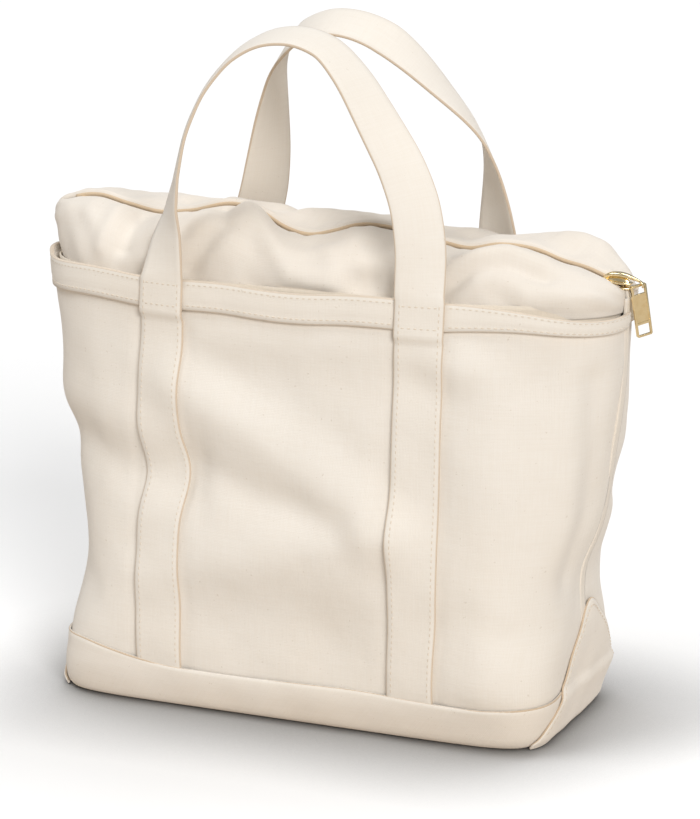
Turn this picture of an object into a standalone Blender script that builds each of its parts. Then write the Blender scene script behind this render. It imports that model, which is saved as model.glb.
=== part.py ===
# Canvas tote bag with a zipped top, an outside front pocket and two carrying handles.
# Units are metres, +Z is up, +X runs along the zip and the front faces -Y.
# Every fabric layer is a thin closed shell that lies just clear of the layer below it.

from math import asin, cos, pi, radians, sin

import bpy
import bmesh
import numpy as np
from mathutils import Matrix

# Heights
HEM_Z = 0.286
BOOT_Z = 0.030
EAR_Z = 0.079
HEM_BAND = 0.020

# The bag's outline at each height: half width, then half depth and squareness of the front and of the rear
OUTLINE = np.array((
    # z, half width, front depth, front power, rear depth, rear power
    (0.000, 0.1660, 0.0700, 4.0, 0.0700, 4.0),
    (0.030, 0.1760, 0.0790, 4.5, 0.0780, 4.5),
    (0.090, 0.1800, 0.0790, 4.0, 0.0775, 4.0),
    (0.150, 0.1840, 0.0780, 3.5, 0.0760, 3.6),
    (0.220, 0.1915, 0.0757, 2.8, 0.0725, 3.2),
    (0.286, 0.1990, 0.0710, 2.3, 0.0690, 2.8),
))
FRONT, REAR = -1, 1
LEVELS = tuple(OUTLINE[:, 0])

# How far the slack left end leans in at each height
LEAN_Z = (0.000, 0.030, 0.090, 0.150, 0.220, 0.286)
LEAN_PULL = (-0.0020, 0.0100, 0.0165, 0.0145, 0.0075, 0.0030)
LEAN_START, LEAN_SPAN = 0.110, 0.070
RIGHT_LEAN_Z = (0.000, 0.015, 0.030, 0.050, 0.070, 0.090, 0.120)
RIGHT_LEAN_PULL = (0.0030, 0.0052, 0.0066, 0.0074, 0.0060, 0.0034, 0.0)
RIGHT_LEAN_START, RIGHT_LEAN_SPAN = 0.120, 0.055

# Fabric
CANVAS = 0.0012
WEBBING = 0.0016
BODY_LAYER = -CANVAS / 2
FIRST_LAYER = 0.0010
SECOND_LAYER = 0.0027
FRONT_STRAP_LAYER = 0.0046
REAR_STRAP_LAYER = 0.0029
EAR_LAYER = 0.0050
EDGE_GAP = 0.0008

# Straps and handles
STRAP_X = 0.0885
STRAP_HALF = 0.016
HANDLE_TWIST_RISE = 0.145
FRONT_HANDLE_TURN = radians(77)
REAR_HANDLE_TURN = radians(114)
FRONT_LEFT_RISES = (0.0, 0.010, 0.025, 0.040, 0.060, 0.145)
FRONT_LEFT_TURNS = np.radians((0.0, 2.0, 20.0, 45.0, 59.0, 77.0))
FRONT_HANDLE_TOP_Y = 0.0255
REAR_HANDLE_TOP_Y = 0.0262

# The open inner panel behind the pocket, and the slit at each side seam
POCKET_START_Z = 0.060
FRONT_INNER_Y = 0.0586
SEAM_GAP = 0.0060
SEAM_STRIP_HALF = 0.0051
SEAM_STRIP_TOP = 0.2540

# Zip: a straight line that falls gently towards the right end
ZIP_Z = 0.3085
ZIP_SLOPE = -0.080
LIP_LEFT = -0.168
LIP_RIGHT = 0.1285
END_LEFT = 0.1705
END_RIGHT = 0.1310
END_OUTER = 0.1960
SLOT_HALF = 0.0080
LIP_EDGE_Y = 0.0045
LIP_FOOT_Z = 0.2870
LIP_BULGE = 0.003
TAPE_OUTER_Y = 0.0150
TAPE_INNER_Y = 0.0036
TAPE = 0.0007
TEETH_Y = (0.0004, 0.0032)
TEETH_HALF_HEIGHT = 0.0013

# Slider and pull
SLIDER_X = 0.1937
SLIDER_LENGTH = 0.0184
SLIDER_WIDTH = 0.0116
PLATE = 0.0012
PULL_X = 0.2070
PULL_TURN = radians(50)
PULL_LEAN = radians(-10)
PULL_WIDTH = 0.0112
PULL_LENGTH = 0.0340
PULL_THICK = 0.0016


def clear_scene():
    for item in list(bpy.data.objects):
        bpy.data.objects.remove(item, do_unlink=True)


def material(name, colour, roughness, metallic=0.0):
    made = bpy.data.materials.new(name)
    made.use_nodes = True
    surface = made.node_tree.nodes["Principled BSDF"]
    surface.inputs["Base Color"].default_value = (*colour, 1.0)
    surface.inputs["Roughness"].default_value = roughness
    surface.inputs["Metallic"].default_value = metallic
    return made


def smooth(value):
    value = np.clip(value, 0.0, 1.0)
    return value * value * (3 - 2 * value)


# ---------------------------------------------------------------- the bag's outline

def outline(z, side):
    """Half width, half depth and power of the rounded outline at one height."""
    depth, power = (2, 3) if side == FRONT else (4, 5)
    return tuple(np.interp(z, OUTLINE[:, 0], OUTLINE[:, column]) for column in (1, depth, power))


def depth_at(x, z, side, layer=0.0):
    """How far from the middle plane the wall stands at x, always positive."""
    width, depth, power = outline(z, side)
    share = np.clip(np.abs(x) / (width + layer), 0.0, 1.0)
    return (depth + layer) * (1 - share ** power) ** (1 / power)


def half_outline(z, side, layer, steps=7):
    """One half of the outline as (x, depth) columns, from the left end to the right end.

    The strap edges lie on columns. Beyond them the columns follow the curve's own angle, so that the
    facets of one layer match those of the next.
    """
    width, depth, power = outline(z, side)
    outer = STRAP_X + STRAP_HALF
    start = asin((outer / (width + layer)) ** (power / 2))
    angles = start + (pi / 2 - start) * np.arange(1, steps + 1) / steps
    flat = np.array((0.036, STRAP_X - STRAP_HALF, outer))
    right = np.concatenate([flat, (width + layer) * np.sin(angles) ** (2 / power)])
    away = np.concatenate([depth_at(flat, z, side, layer), (depth + layer) * np.abs(np.cos(angles)) ** (2 / power)])
    away[-1] = 0.0
    x = np.concatenate([-right[::-1], [0.0], right])
    y = np.concatenate([away[::-1], [depth + layer], away])
    return x, y


def clip_ends(x, y, gap):
    """Stops both end facets where they come within the gap of the side seam."""
    for end, inner in ((0, 1), (-1, -2)):
        share = gap / y[inner]
        x[end] += (x[inner] - x[end]) * share
        y[end] = gap
    return x, y


def side_x(y, z, side, layer):
    """How far from the middle the side wall stands at y, read from the same facets."""
    x, depth = half_outline(z, side, layer)
    middle = len(x) // 2
    return float(np.interp(abs(y), depth[middle:][::-1], x[middle:][::-1]))


def front_inner_depth(x, z):
    """The front body panel stands back behind the pocket, and its top edge is straight in the middle."""
    full = depth_at(x, z, FRONT, BODY_LAYER)
    back = np.minimum(full, FRONT_INNER_Y)
    return full + (back - full) * smooth((z - POCKET_START_Z) / (HEM_Z - POCKET_START_Z))


def levels(low, high):
    return [low] + [z for z in LEVELS if low + 0.002 < z < high - 0.002] + [high]


# ---------------------------------------------------------------- builders

def lean_in(mesh):
    """Moves the slack ends inwards: x + pull(z) * smooth((-x - start) / span) on the left, less on the right."""
    points = np.array([vertex.co for vertex in mesh.vertices])
    left = np.interp(points[:, 2], LEAN_Z, LEAN_PULL) * smooth((-points[:, 0] - LEAN_START) / LEAN_SPAN)
    right = (np.interp(points[:, 2], RIGHT_LEAN_Z, RIGHT_LEAN_PULL)
             * smooth((points[:, 0] - RIGHT_LEAN_START) / RIGHT_LEAN_SPAN))
    points[:, 0] += left - right
    mesh.vertices.foreach_set("co", points.reshape(-1))


def add_object(name, mesh, finish, origin=(0.0, 0.0, 0.0)):
    """Adds an object whose mesh is given in world places, with its own origin."""
    lean_in(mesh)
    mesh.transform(Matrix.Translation([-value for value in origin]))
    item = bpy.data.objects.new(name, mesh)
    item.location = origin
    item.data.materials.append(finish)
    bpy.context.scene.collection.objects.link(item)
    return item


def solidify(item, thickness, offset=0.0):
    shell = item.modifiers.new("Cloth thickness", "SOLIDIFY")
    shell.thickness = thickness
    shell.offset = offset
    shell.use_even_offset = True
    return item


def sheet(name, grid, thickness, finish, origin=(0.0, 0.0, 0.0)):
    """A cloth panel: a grid of points, rows by columns by 3, given a thickness about its middle."""
    grid = np.asarray(grid, float)
    rows, columns = grid.shape[:2]
    index = np.arange(rows * columns).reshape(rows, columns)
    corners = (index[:-1, :-1], index[:-1, 1:], index[1:, 1:], index[1:, :-1])
    mesh = bpy.data.meshes.new(name)
    mesh.from_pydata(grid.reshape(-1, 3).tolist(), [], np.stack(corners, -1).reshape(-1, 4).tolist())
    return solidify(add_object(name, mesh, finish, origin), thickness)


def ribbon(name, centres, across, normals, width, thickness, finish, origin=(0.0, 0.0, 0.0)):
    """A flat band swept along its centre line, closed at both ends."""
    centres, across, normals = (np.asarray(rows, float) for rows in (centres, across, normals))
    corners = ((-1, -1), (1, -1), (1, 1), (-1, 1))
    rings = np.stack([centres + a * across * width / 2 + b * normals * thickness / 2 for a, b in corners], 1)
    count = len(centres)
    faces = [[4 * k + j, 4 * k + (j + 1) % 4, 4 * k + 4 + (j + 1) % 4, 4 * k + 4 + j]
             for k in range(count - 1) for j in range(4)]
    faces += [[3, 2, 1, 0], [4 * count - 4 + j for j in range(4)]]
    mesh = bpy.data.meshes.new(name)
    mesh.from_pydata(rings.reshape(-1, 3).tolist(), [], faces)
    return add_object(name, outward(mesh), finish, origin)


def outward(mesh):
    work = bmesh.new()
    work.from_mesh(mesh)
    bmesh.ops.recalc_face_normals(work, faces=work.faces)
    work.to_mesh(mesh)
    work.free()
    return mesh


def prism(name, outline_points, low, high):
    """A mesh of a flat outline raised from one height to another."""
    work = bmesh.new()
    face = work.faces.new([work.verts.new((x, y, low)) for x, y in outline_points])
    raised = bmesh.ops.extrude_face_region(work, geom=[face])
    top = [part for part in raised["geom"] if isinstance(part, bmesh.types.BMVert)]
    bmesh.ops.translate(work, verts=top, vec=(0, 0, high - low))
    bmesh.ops.recalc_face_normals(work, faces=work.faces)
    mesh = bpy.data.meshes.new(name)
    work.to_mesh(mesh)
    work.free()
    return mesh


def boolean(item, other, operation):
    """Joins or cuts with a helper object that stays out of the build."""
    other.hide_render = True
    other.display_type = "WIRE"
    step = item.modifiers.new(operation.title() + " " + other.name, "BOOLEAN")
    step.operation = operation
    step.object = other
    return item


# ---------------------------------------------------------------- canvas body

def wall(name, side, low, high, layer, thickness, finish, depth=None):
    """One half of the bag's side wall, from one side seam round to the other."""
    rows = []
    for z in levels(low, high):
        x, y = clip_ends(*half_outline(z, side, layer), SEAM_GAP)
        if depth:
            y = np.minimum(y, depth(x, z))
        rows.append(np.column_stack([x, side * y, np.full(len(x), z)]))
    return sheet(name, rows, thickness, finish)


def ring(z, layer):
    """The whole outline at one height as a closed loop of points, anticlockwise from the left end."""
    front_x, front_y = half_outline(z, FRONT, layer)
    rear_x, rear_y = (row[::-1][1:-1] for row in half_outline(z, REAR, layer))
    x = np.concatenate([front_x, rear_x])
    y = np.concatenate([-front_y, rear_y])
    return np.column_stack([x, y, np.full(len(x), z)])


def base_boot(finish):
    """The reinforced base: a shallow tray with a rounded bottom edge."""
    steps = ((0.0006, -0.0035), (0.0020, 0.0010), (0.0050, SECOND_LAYER), (0.0160, SECOND_LAYER),
             (BOOT_Z, SECOND_LAYER))
    loops = [ring(z, layer) for z, layer in steps]
    count = len(loops[0])
    faces = [[k * count + j, k * count + (j + 1) % count, (k + 1) * count + (j + 1) % count, (k + 1) * count + j]
             for k in range(len(loops) - 1) for j in range(count)]
    faces.append(list(range(count))[::-1])
    mesh = bpy.data.meshes.new("base_boot")
    mesh.from_pydata(np.concatenate(loops).tolist(), [], faces)
    return solidify(add_object("base_boot", mesh, finish), CANVAS)


def bottom_panel(finish):
    """The inner bottom, which lies in the tray under the walls."""
    low, high = 0.0018, 0.0030
    points = ring(0.003, -0.0050)[:, :2]
    return add_object("bottom_panel", prism("bottom_panel", points, low, high), finish)


def ear(name, hand, finish):
    """The arched patch of base cloth that wraps each end, highest at the side seam."""
    half_depth, low, least = 0.056, 0.004, 0.004
    y = np.linspace(-half_depth, half_depth, 23)
    top = BOOT_Z + least + (EAR_Z - BOOT_Z - least) * (1 - np.abs(y / half_depth) ** 1.8)
    heights = [np.full(len(y), z) for z in (low, 0.016, BOOT_Z)]
    heights += [BOOT_Z + (top - BOOT_Z) * share for share in (0.5, 1.0)]
    rows = []
    for z in heights:
        x = [hand * side_x(v, h, FRONT if v < 0 else REAR, EAR_LAYER) for v, h in zip(y, z)]
        rows.append(np.column_stack([x, y, z]))
    return sheet(name, rows, CANVAS, finish)


def seam_strip(name, hand, finish):
    """The strip that joins the front and rear panels at each side."""
    half = SEAM_STRIP_HALF
    rows = [[(hand * side_x(y, z, FRONT, BODY_LAYER), y, z) for y in (-half, 0.0, half)]
            for z in levels(0.0036, SEAM_STRIP_TOP)]
    return sheet(name, rows, CANVAS, finish)


# ---------------------------------------------------------------- straps and handles

def strap_leg(name, hand, side, layer, finish):
    """The part of a strap that is sewn to the bag, from the base to the hem."""
    rows = []
    for z in levels(BOOT_Z + EDGE_GAP, HEM_Z - 0.0005):
        x = hand * STRAP_X + np.array((-STRAP_HALF, STRAP_HALF))
        rows.append(np.column_stack([x, side * depth_at(x, z, side, layer), np.full(2, z)]))
    return sheet(name, rows, WEBBING, finish)


def handle_path(route, foot_y, top_y, side, count=41):
    """Points along the loop: a smooth curve through the route's own points, leaning towards the zip."""
    route = np.array(route)
    steps = np.concatenate([[0.0], np.cumsum(np.hypot(*np.diff(route, axis=0).T))])
    at = np.linspace(0.0, steps[-1], 8 * count)
    fit = np.column_stack([np.interp(at, steps, route[:, 0]), np.interp(at, steps, route[:, 1])])
    for _ in range(60):
        fit[1:-1] = (fit[:-2] + 2 * fit[1:-1] + fit[2:]) / 4
    fit = fit[np.linspace(0, len(fit) - 1, count).round().astype(int)]
    rise = fit[:, 1] - route[0, 1]
    y = side * (foot_y + (top_y - foot_y) * rise / rise.max())
    return np.column_stack([fit[:, 0], y, fit[:, 1]]), rise


def handle_loop(name, route, foot_y, top_y, side, axis, finish):
    """A carrying handle: the band faces away from the bag at its feet and turns nearly flat over the top."""
    centres, rise = handle_path(route, foot_y, top_y, side)
    tangents = np.gradient(centres, axis=0)
    tangents[[0, -1], 0] = 0.0
    tangents /= np.linalg.norm(tangents, axis=1, keepdims=True)
    full_turn = FRONT_HANDLE_TURN if side == FRONT else REAR_HANDLE_TURN
    turn = full_turn * np.clip(rise / HANDLE_TWIST_RISE, 0.0, 1.0)
    if side == FRONT:
        left = np.arange(len(rise)) < rise.argmax()
        turn = np.where(left, np.interp(rise, FRONT_LEFT_RISES, FRONT_LEFT_TURNS), turn)
    outward_face = np.cross(tangents, (0.0, 1.0, 0.0))
    forward = np.array((0.0, float(side), 0.0))
    normals = np.cos(turn)[:, None] * forward + np.sin(turn)[:, None] * outward_face
    normals -= (normals * tangents).sum(1, keepdims=True) * tangents
    normals /= np.linalg.norm(normals, axis=1, keepdims=True)
    across = np.cross(tangents, normals)
    return ribbon(name, centres, across, normals, 2 * STRAP_HALF, WEBBING, finish, axis)


# ---------------------------------------------------------------- zipped top

def zip_height(x):
    return ZIP_Z + ZIP_SLOPE * x


def top_foot(x, side):
    """Where the top panel starts, straight above the wall that it is sewn to."""
    if side == FRONT:
        return front_inner_depth(x, HEM_Z)
    return depth_at(x, HEM_Z, REAR) + BODY_LAYER


def top_point(x, share, side, edge_y, lower=0.0):
    """A point of the sloping top, from the wall (share 0) to the zip (share 1)."""
    foot = top_foot(x, side)
    y = foot + (edge_y - foot) * share
    z = LIP_FOOT_Z + (zip_height(x) - LIP_FOOT_Z) * share + LIP_BULGE * np.sin(pi * share) - lower
    return np.stack([x, side * y, z], -1)


def top_panel(name, side, x_from, x_to, edge_y, finish, origin=(0.0, 0.0, 0.0), columns=9):
    x = np.linspace(x_from, x_to, columns)
    rows = [top_point(x, share, side, edge_y) for share in (0.0, 0.25, 0.5, 0.75, 1.0)]
    return sheet(name, rows, CANVAS, finish, origin)


def zip_tape(name, side, finish, origin):
    """The woven tape under the edge of a top panel."""
    x = np.linspace(LIP_LEFT + 0.002, LIP_RIGHT - 0.001, 9)
    foot = top_foot(x, side)
    rows = []
    for y in (TAPE_OUTER_Y, TAPE_INNER_Y):
        share = (foot - y) / (foot - LIP_EDGE_Y)
        rows.append(top_point(x, share, side, LIP_EDGE_Y, lower=0.0014))
    return sheet(name, rows, TAPE, finish, origin)


def zip_teeth(name, side, finish, origin):
    """One half of the chain, as the bar that its teeth fill."""
    x = np.array((LIP_LEFT + 0.002, LIP_RIGHT - 0.001))
    middle = side * sum(TEETH_Y) / 2
    centres = np.column_stack([x, np.full(2, middle), zip_height(x)])
    across = np.tile((0.0, 1.0, 0.0), (2, 1))
    normals = np.tile((0.0, 0.0, 1.0), (2, 1))
    width = TEETH_Y[1] - TEETH_Y[0]
    return ribbon(name, centres, across, normals, width, 2 * TEETH_HALF_HEIGHT, finish, origin)


def end_gusset(name, route, finish):
    """A narrow cloth strip in the plane y = 0 that closes the gap under one end of the zip."""
    route = np.array([(x, 0.0, z) for x, z in route])
    tangents = np.gradient(route, axis=0)
    tangents /= np.linalg.norm(tangents, axis=1, keepdims=True)
    across = np.tile((0.0, 1.0, 0.0), (len(route), 1))
    normals = np.cross(tangents, across)
    return ribbon(name, route, across, normals, 2 * SEAM_STRIP_HALF - 0.0006, 0.0008, finish)


def bottom_stop(finish):
    """The clip that ends the chain at the left."""
    x = np.array((-0.1845, -0.1795))
    centres = np.column_stack([x, np.zeros(2), zip_height(x)])
    across = np.tile((0.0, 1.0, 0.0), (2, 1))
    normals = np.tile((0.0, 0.0, 1.0), (2, 1))
    return ribbon("zip_bottom_stop", centres, across, normals, 0.0060, 0.0026, finish)


# ---------------------------------------------------------------- slider and pull

def slider_outline(length, width):
    """A shield shape: broad and round at the left, narrow at the right."""
    half = [(-length * 0.50, width * 0.26), (-length * 0.42, width * 0.42), (-length * 0.22, width * 0.50),
            (length * 0.10, width * 0.48), (length * 0.36, width * 0.36), (length * 0.50, width * 0.22)]
    return half + [(x, -y) for x, y in reversed(half)]


def slider_body(finish, origin):
    """Two plates held apart by a wedge, with the channel that the teeth run in between them."""
    shell = add_object("slider_body", prism("top plate", slider_outline(SLIDER_LENGTH, SLIDER_WIDTH),
                                            0.0010, 0.0010 + PLATE), finish)
    lower = add_object("lower plate", prism("lower plate", slider_outline(SLIDER_LENGTH * 0.96, SLIDER_WIDTH * 0.94),
                                            -0.0010 - PLATE, -0.0010), finish)
    post_outline = [(0.0040, 0.0), (0.0080, 0.0015), (0.0080, -0.0015)]
    post = add_object("wedge", prism("wedge", post_outline, -0.0016, 0.0016), finish)
    tilt = asin(ZIP_SLOPE)
    for piece in (shell, lower, post):
        piece.location = origin
        piece.rotation_euler = (0.0, -tilt, 0.0)
    boolean(shell, lower, "UNION")
    return boolean(shell, post, "UNION")


def slider_bridge(finish, origin):
    """The hooked bar on the slider that carries the pull; its nose turns down round the pull's crossbar."""
    route = ((-0.0072, 0.0029), (-0.0066, 0.0050), (-0.0040, 0.0063), (0.0015, 0.0066), (0.0070, 0.0054),
             (0.0115, 0.0038), (0.0146, 0.0025), (0.0164, 0.0005), (0.0161, -0.0014))
    points = np.array([(origin[0] + x, 0.0, origin[2] + z) for x, z in route])
    tangents = np.gradient(points, axis=0)
    tangents /= np.linalg.norm(tangents, axis=1, keepdims=True)
    across = np.tile((0.0, 1.0, 0.0), (len(points), 1))
    return ribbon("slider_bridge", points, across, np.cross(tangents, across), 0.0020, 0.0012, finish, origin)


def box_helper(name, size, centre):
    half = [value / 2 for value in size]
    points = [(-half[0], -half[1]), (half[0], -half[1]), (half[0], half[1]), (-half[0], half[1])]
    mesh = prism(name, points, -half[2], half[2])
    item = bpy.data.objects.new(name, mesh)
    item.location = centre
    bpy.context.scene.collection.objects.link(item)
    return item


def pull_tab(finish, origin):
    """A flat pull: a hole at the top for the bridge, a sunk field, and a window at the lower end."""
    top = PULL_THICK / 2
    rim = 0.0013
    bevel = 0.0009
    half = PULL_WIDTH / 2
    profile = [(-half, -PULL_LENGTH + top + bevel), (-half + bevel, -PULL_LENGTH + top),
               (half - bevel, -PULL_LENGTH + top), (half, -PULL_LENGTH + top + bevel),
               (half, top - bevel), (half - bevel, top), (-half + bevel, top), (-half, top - bevel)]
    mesh = prism("pull_tab", profile, -PULL_THICK / 2, PULL_THICK / 2)
    tab = bpy.data.objects.new("pull_tab", mesh)
    tab.data.materials.append(finish)
    bpy.context.scene.collection.objects.link(tab)
    inner = PULL_WIDTH - 2 * rim
    cuts = (
        box_helper("bridge hole", (PULL_WIDTH - 0.0030, 0.0046, 0.004), (0, -0.0008 - 0.0023, 0)),
        box_helper("window", (inner, 0.0066, 0.004), (0, -PULL_LENGTH + top + rim + 0.0033, 0)),
        box_helper("front field", (inner, 0.0172, 0.0008), (0, -0.0152, PULL_THICK / 2)),
        box_helper("rear field", (inner, 0.0172, 0.0008), (0, -0.0152, -PULL_THICK / 2)),
    )
    hang = bpy.data.objects.new("pull hinge", None)
    bpy.context.scene.collection.objects.link(hang)
    for piece in (tab, *cuts):
        piece.parent = hang
    for cut in cuts:
        boolean(tab, cut, "DIFFERENCE")
    hang.location = origin
    hang.rotation_euler = (pi / 2, PULL_LEAN, PULL_TURN)
    return tab


# ---------------------------------------------------------------- assembly

def build():
    clear_scene()
    canvas = {name: material(name, (0.80, 0.75, 0.68), 0.92) for name in (
        "body canvas", "pocket canvas", "base canvas", "hem canvas", "top canvas", "seam tape")}
    webbing = material("strap webbing", (0.82, 0.77, 0.70), 0.90)
    tape = material("zip tape", (0.78, 0.71, 0.62), 0.90)
    brass = material("brass", (0.72, 0.52, 0.22), 0.28, 1.0)

    # Base and walls
    base_boot(canvas["base canvas"])
    bottom_panel(canvas["body canvas"])
    wall("body_front_panel", FRONT, 0.0036, HEM_Z, BODY_LAYER, CANVAS, canvas["body canvas"],
         depth=front_inner_depth)
    wall("body_rear_panel", REAR, 0.0036, HEM_Z, BODY_LAYER, CANVAS, canvas["body canvas"])
    wall("pocket_panel", FRONT, 0.0070, HEM_Z - 0.0003, FIRST_LAYER, CANVAS, canvas["pocket canvas"])
    wall("pocket_hem", FRONT, HEM_Z - HEM_BAND, HEM_Z, SECOND_LAYER, CANVAS, canvas["hem canvas"])
    wall("rear_hem", REAR, HEM_Z - HEM_BAND, HEM_Z, FIRST_LAYER, CANVAS, canvas["hem canvas"])
    for hand, word in ((-1, "left"), (1, "right")):
        ear("boot_ear_" + word, hand, canvas["base canvas"])
        seam_strip("side_seam_" + word, hand, canvas["seam tape"])
        strap_leg("front_strap_" + word, hand, FRONT, FRONT_STRAP_LAYER, webbing)
        strap_leg("rear_strap_" + word, hand, REAR, REAR_STRAP_LAYER, webbing)

    # Handles, hinged where they leave the hem
    front_foot = depth_at(STRAP_X, HEM_Z, FRONT, FRONT_STRAP_LAYER)
    rear_foot = depth_at(STRAP_X, HEM_Z, REAR, REAR_STRAP_LAYER)
    axis_z, foot_z = HEM_Z + 0.0010, HEM_Z + 0.0018
    fold_out = WEBBING / 2 + 0.0002
    front_route = ((-0.0885, foot_z), (-0.0885, 0.318), (-0.0872, 0.348), (-0.0842, 0.378), (-0.0736, 0.405),
                   (-0.0555, 0.4265), (-0.034, 0.4385), (-0.011, 0.4410), (0.010, 0.4345), (0.029, 0.416),
                   (0.047, 0.393), (0.066, 0.368), (0.079, 0.344), (0.0865, 0.317), (0.0885, foot_z))
    rear_route = ((-0.0885, foot_z), (-0.0835, 0.304), (-0.0755, 0.324), (-0.0688, 0.350), (-0.0630, 0.378),
                  (-0.0550, 0.412), (-0.039, 0.435), (-0.017, 0.4445), (0.005, 0.4420), (0.025, 0.434),
                  (0.045, 0.418), (0.062, 0.401), (0.076, 0.386), (0.0860, 0.371), (0.0895, 0.350),
                  (0.0895, 0.320), (0.0885, foot_z))
    handle_loop("front_handle_loop", front_route, front_foot, FRONT_HANDLE_TOP_Y, FRONT,
                (0.0, -front_foot - fold_out, axis_z), webbing)
    handle_loop("rear_handle_loop", rear_route, rear_foot, REAR_HANDLE_TOP_Y, REAR,
                (0.0, rear_foot + fold_out, axis_z), webbing)

    # Zipped top: two flaps that open, and the fixed ends beside them
    for side, word in ((FRONT, "front"), (REAR, "rear")):
        axis = (0.0, side * float(top_foot(0.0, side)), LIP_FOOT_Z)
        top_panel(word + "_top_panel", side, LIP_LEFT, LIP_RIGHT, LIP_EDGE_Y, canvas["top canvas"], axis)
        zip_tape(word + "_zip_tape", side, tape, axis)
        zip_teeth(word + "_zip_teeth", side, brass, axis)
        top_panel(word + "_top_end_left", side, -END_OUTER, -END_LEFT, SLOT_HALF, canvas["top canvas"], columns=4)
        top_panel(word + "_top_end_right", side, END_RIGHT, END_OUTER, SLOT_HALF, canvas["top canvas"], columns=7)
    low = 0.2548
    end_x = [outline(z, FRONT)[0] + BODY_LAYER for z in (low, HEM_Z - 0.0010)]
    end_gusset("zip_end_gusset_right", ((end_x[0], low), (end_x[1], HEM_Z - 0.0010), (0.1950, 0.2872),
                                        (0.1640, zip_height(0.1640) - 0.0057), (0.1325, zip_height(0.1325) - 0.0057)),
               canvas["seam tape"])
    end_gusset("zip_end_gusset_left", ((-end_x[0], low), (-end_x[1], HEM_Z - 0.0010), (-0.1972, 0.3165),
                                       (-0.1720, 0.3165)), canvas["seam tape"])
    bottom_stop(brass)

    # Slider and pull at the closed, right-hand end
    slider_at = (SLIDER_X, 0.0, zip_height(SLIDER_X))
    slider_body(brass, slider_at)
    slider_bridge(brass, slider_at)
    pull_tab(brass, (PULL_X, 0.0, slider_at[2]))


build()
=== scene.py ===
from math import cos, pi, radians, sin
import bmesh
import bpy
import numpy as np
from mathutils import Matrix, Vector


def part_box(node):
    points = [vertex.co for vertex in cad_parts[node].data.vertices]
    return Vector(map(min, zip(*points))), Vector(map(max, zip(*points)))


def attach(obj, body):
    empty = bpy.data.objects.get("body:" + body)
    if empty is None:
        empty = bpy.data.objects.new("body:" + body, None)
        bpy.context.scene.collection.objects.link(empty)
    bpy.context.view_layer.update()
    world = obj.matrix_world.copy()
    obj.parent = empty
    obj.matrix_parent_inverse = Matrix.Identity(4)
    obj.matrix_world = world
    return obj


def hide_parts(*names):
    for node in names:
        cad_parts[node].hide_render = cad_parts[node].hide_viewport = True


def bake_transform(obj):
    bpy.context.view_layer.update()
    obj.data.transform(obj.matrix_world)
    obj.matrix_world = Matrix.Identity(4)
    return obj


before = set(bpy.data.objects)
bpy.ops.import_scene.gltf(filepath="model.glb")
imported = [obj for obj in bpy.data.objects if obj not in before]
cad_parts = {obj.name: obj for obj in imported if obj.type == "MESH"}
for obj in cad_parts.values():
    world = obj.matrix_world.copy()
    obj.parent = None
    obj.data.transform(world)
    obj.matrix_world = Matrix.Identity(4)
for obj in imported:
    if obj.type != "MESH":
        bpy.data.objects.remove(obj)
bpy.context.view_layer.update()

# A canvas tote: a zipped top, an outside pocket and two carrying handles.
# Metres, +Z up, +X along the zip, the front faces -Y.
rng = np.random.default_rng(7)
print("frame loaded")

bagShape = {
    # z, half width, front depth, front power, rear depth, rear power
    "outline": np.array([
        [0.0, 0.166, 0.07, 4.0, 0.07, 4.0],
        [0.03, 0.176, 0.079, 4.5, 0.078, 4.5],
        [0.09, 0.18, 0.079, 4.0, 0.0775, 4.0],
        [0.15, 0.184, 0.078, 3.5, 0.076, 3.6],
        [0.22, 0.1915, 0.0757, 2.8, 0.0725, 3.2],
        [0.286, 0.199, 0.071, 2.3, 0.069, 2.8]]),
    "corner": {"left": 5.0, "right": 4.0, "height": 0.085},
    "hemTop": 0.286, "hemBand": 0.018, "innerDepth": 0.0586, "pocketStart": 0.06,
    "canvas": 0.0012, "strapThick": 0.0018, "strapX": 0.0885, "strapHalf": 0.016,
}
front, rear = 0, 1
sideName, sideSign = ("front", "rear"), (-1, 1)


def ease(t):
    # 3t^2 - 2t^3 with t held between 0 and 1
    t = np.clip(t, 0.0, 1.0)
    return t * t * (3 - 2 * t)


def softCurve(at, knots, values):
    # cubic through the knots, whose slopes are the mean slopes on both sides
    knots, values = np.asarray(knots, float), np.asarray(values, float)
    at = np.clip(at, knots[0], knots[-1])
    slope = np.gradient(values, knots)
    i = np.clip(np.searchsorted(knots, at, side="right") - 1, 0, len(knots) - 2)
    h = knots[i + 1] - knots[i]
    t = (at - knots[i]) / h
    a = values[i] * (1 + 2 * t) * (1 - t) ** 2 + values[i + 1] * t * t * (3 - 2 * t)
    return a + h * (slope[i] * t * (1 - t) ** 2 - slope[i + 1] * t * t * (1 - t))


def hump(a, z, ca, cz, wide, tall, height):
    # height * exp(-(a - ca)^2 / wide^2 - (z - cz)^2 / tall^2)
    return height * np.exp(-((a - ca) / wide) ** 2 - ((z - cz) / tall) ** 2)


def fold(a, z, line, width, height):
    # height * exp(-(distance to the line of segments / width)^2)
    near = np.full(np.broadcast(a, z).shape, 1e9)
    for (x0, z0), (x1, z1) in zip(line[:-1], line[1:]):
        dx, dz = x1 - x0, z1 - z0
        t = np.clip(((a - x0) * dx + (z - z0) * dz) / (dx * dx + dz * dz), 0, 1)
        near = np.minimum(near, (a - x0 - t * dx) ** 2 + (z - z0 - t * dz) ** 2)
    return height * np.exp(-near / width ** 2)


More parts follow.
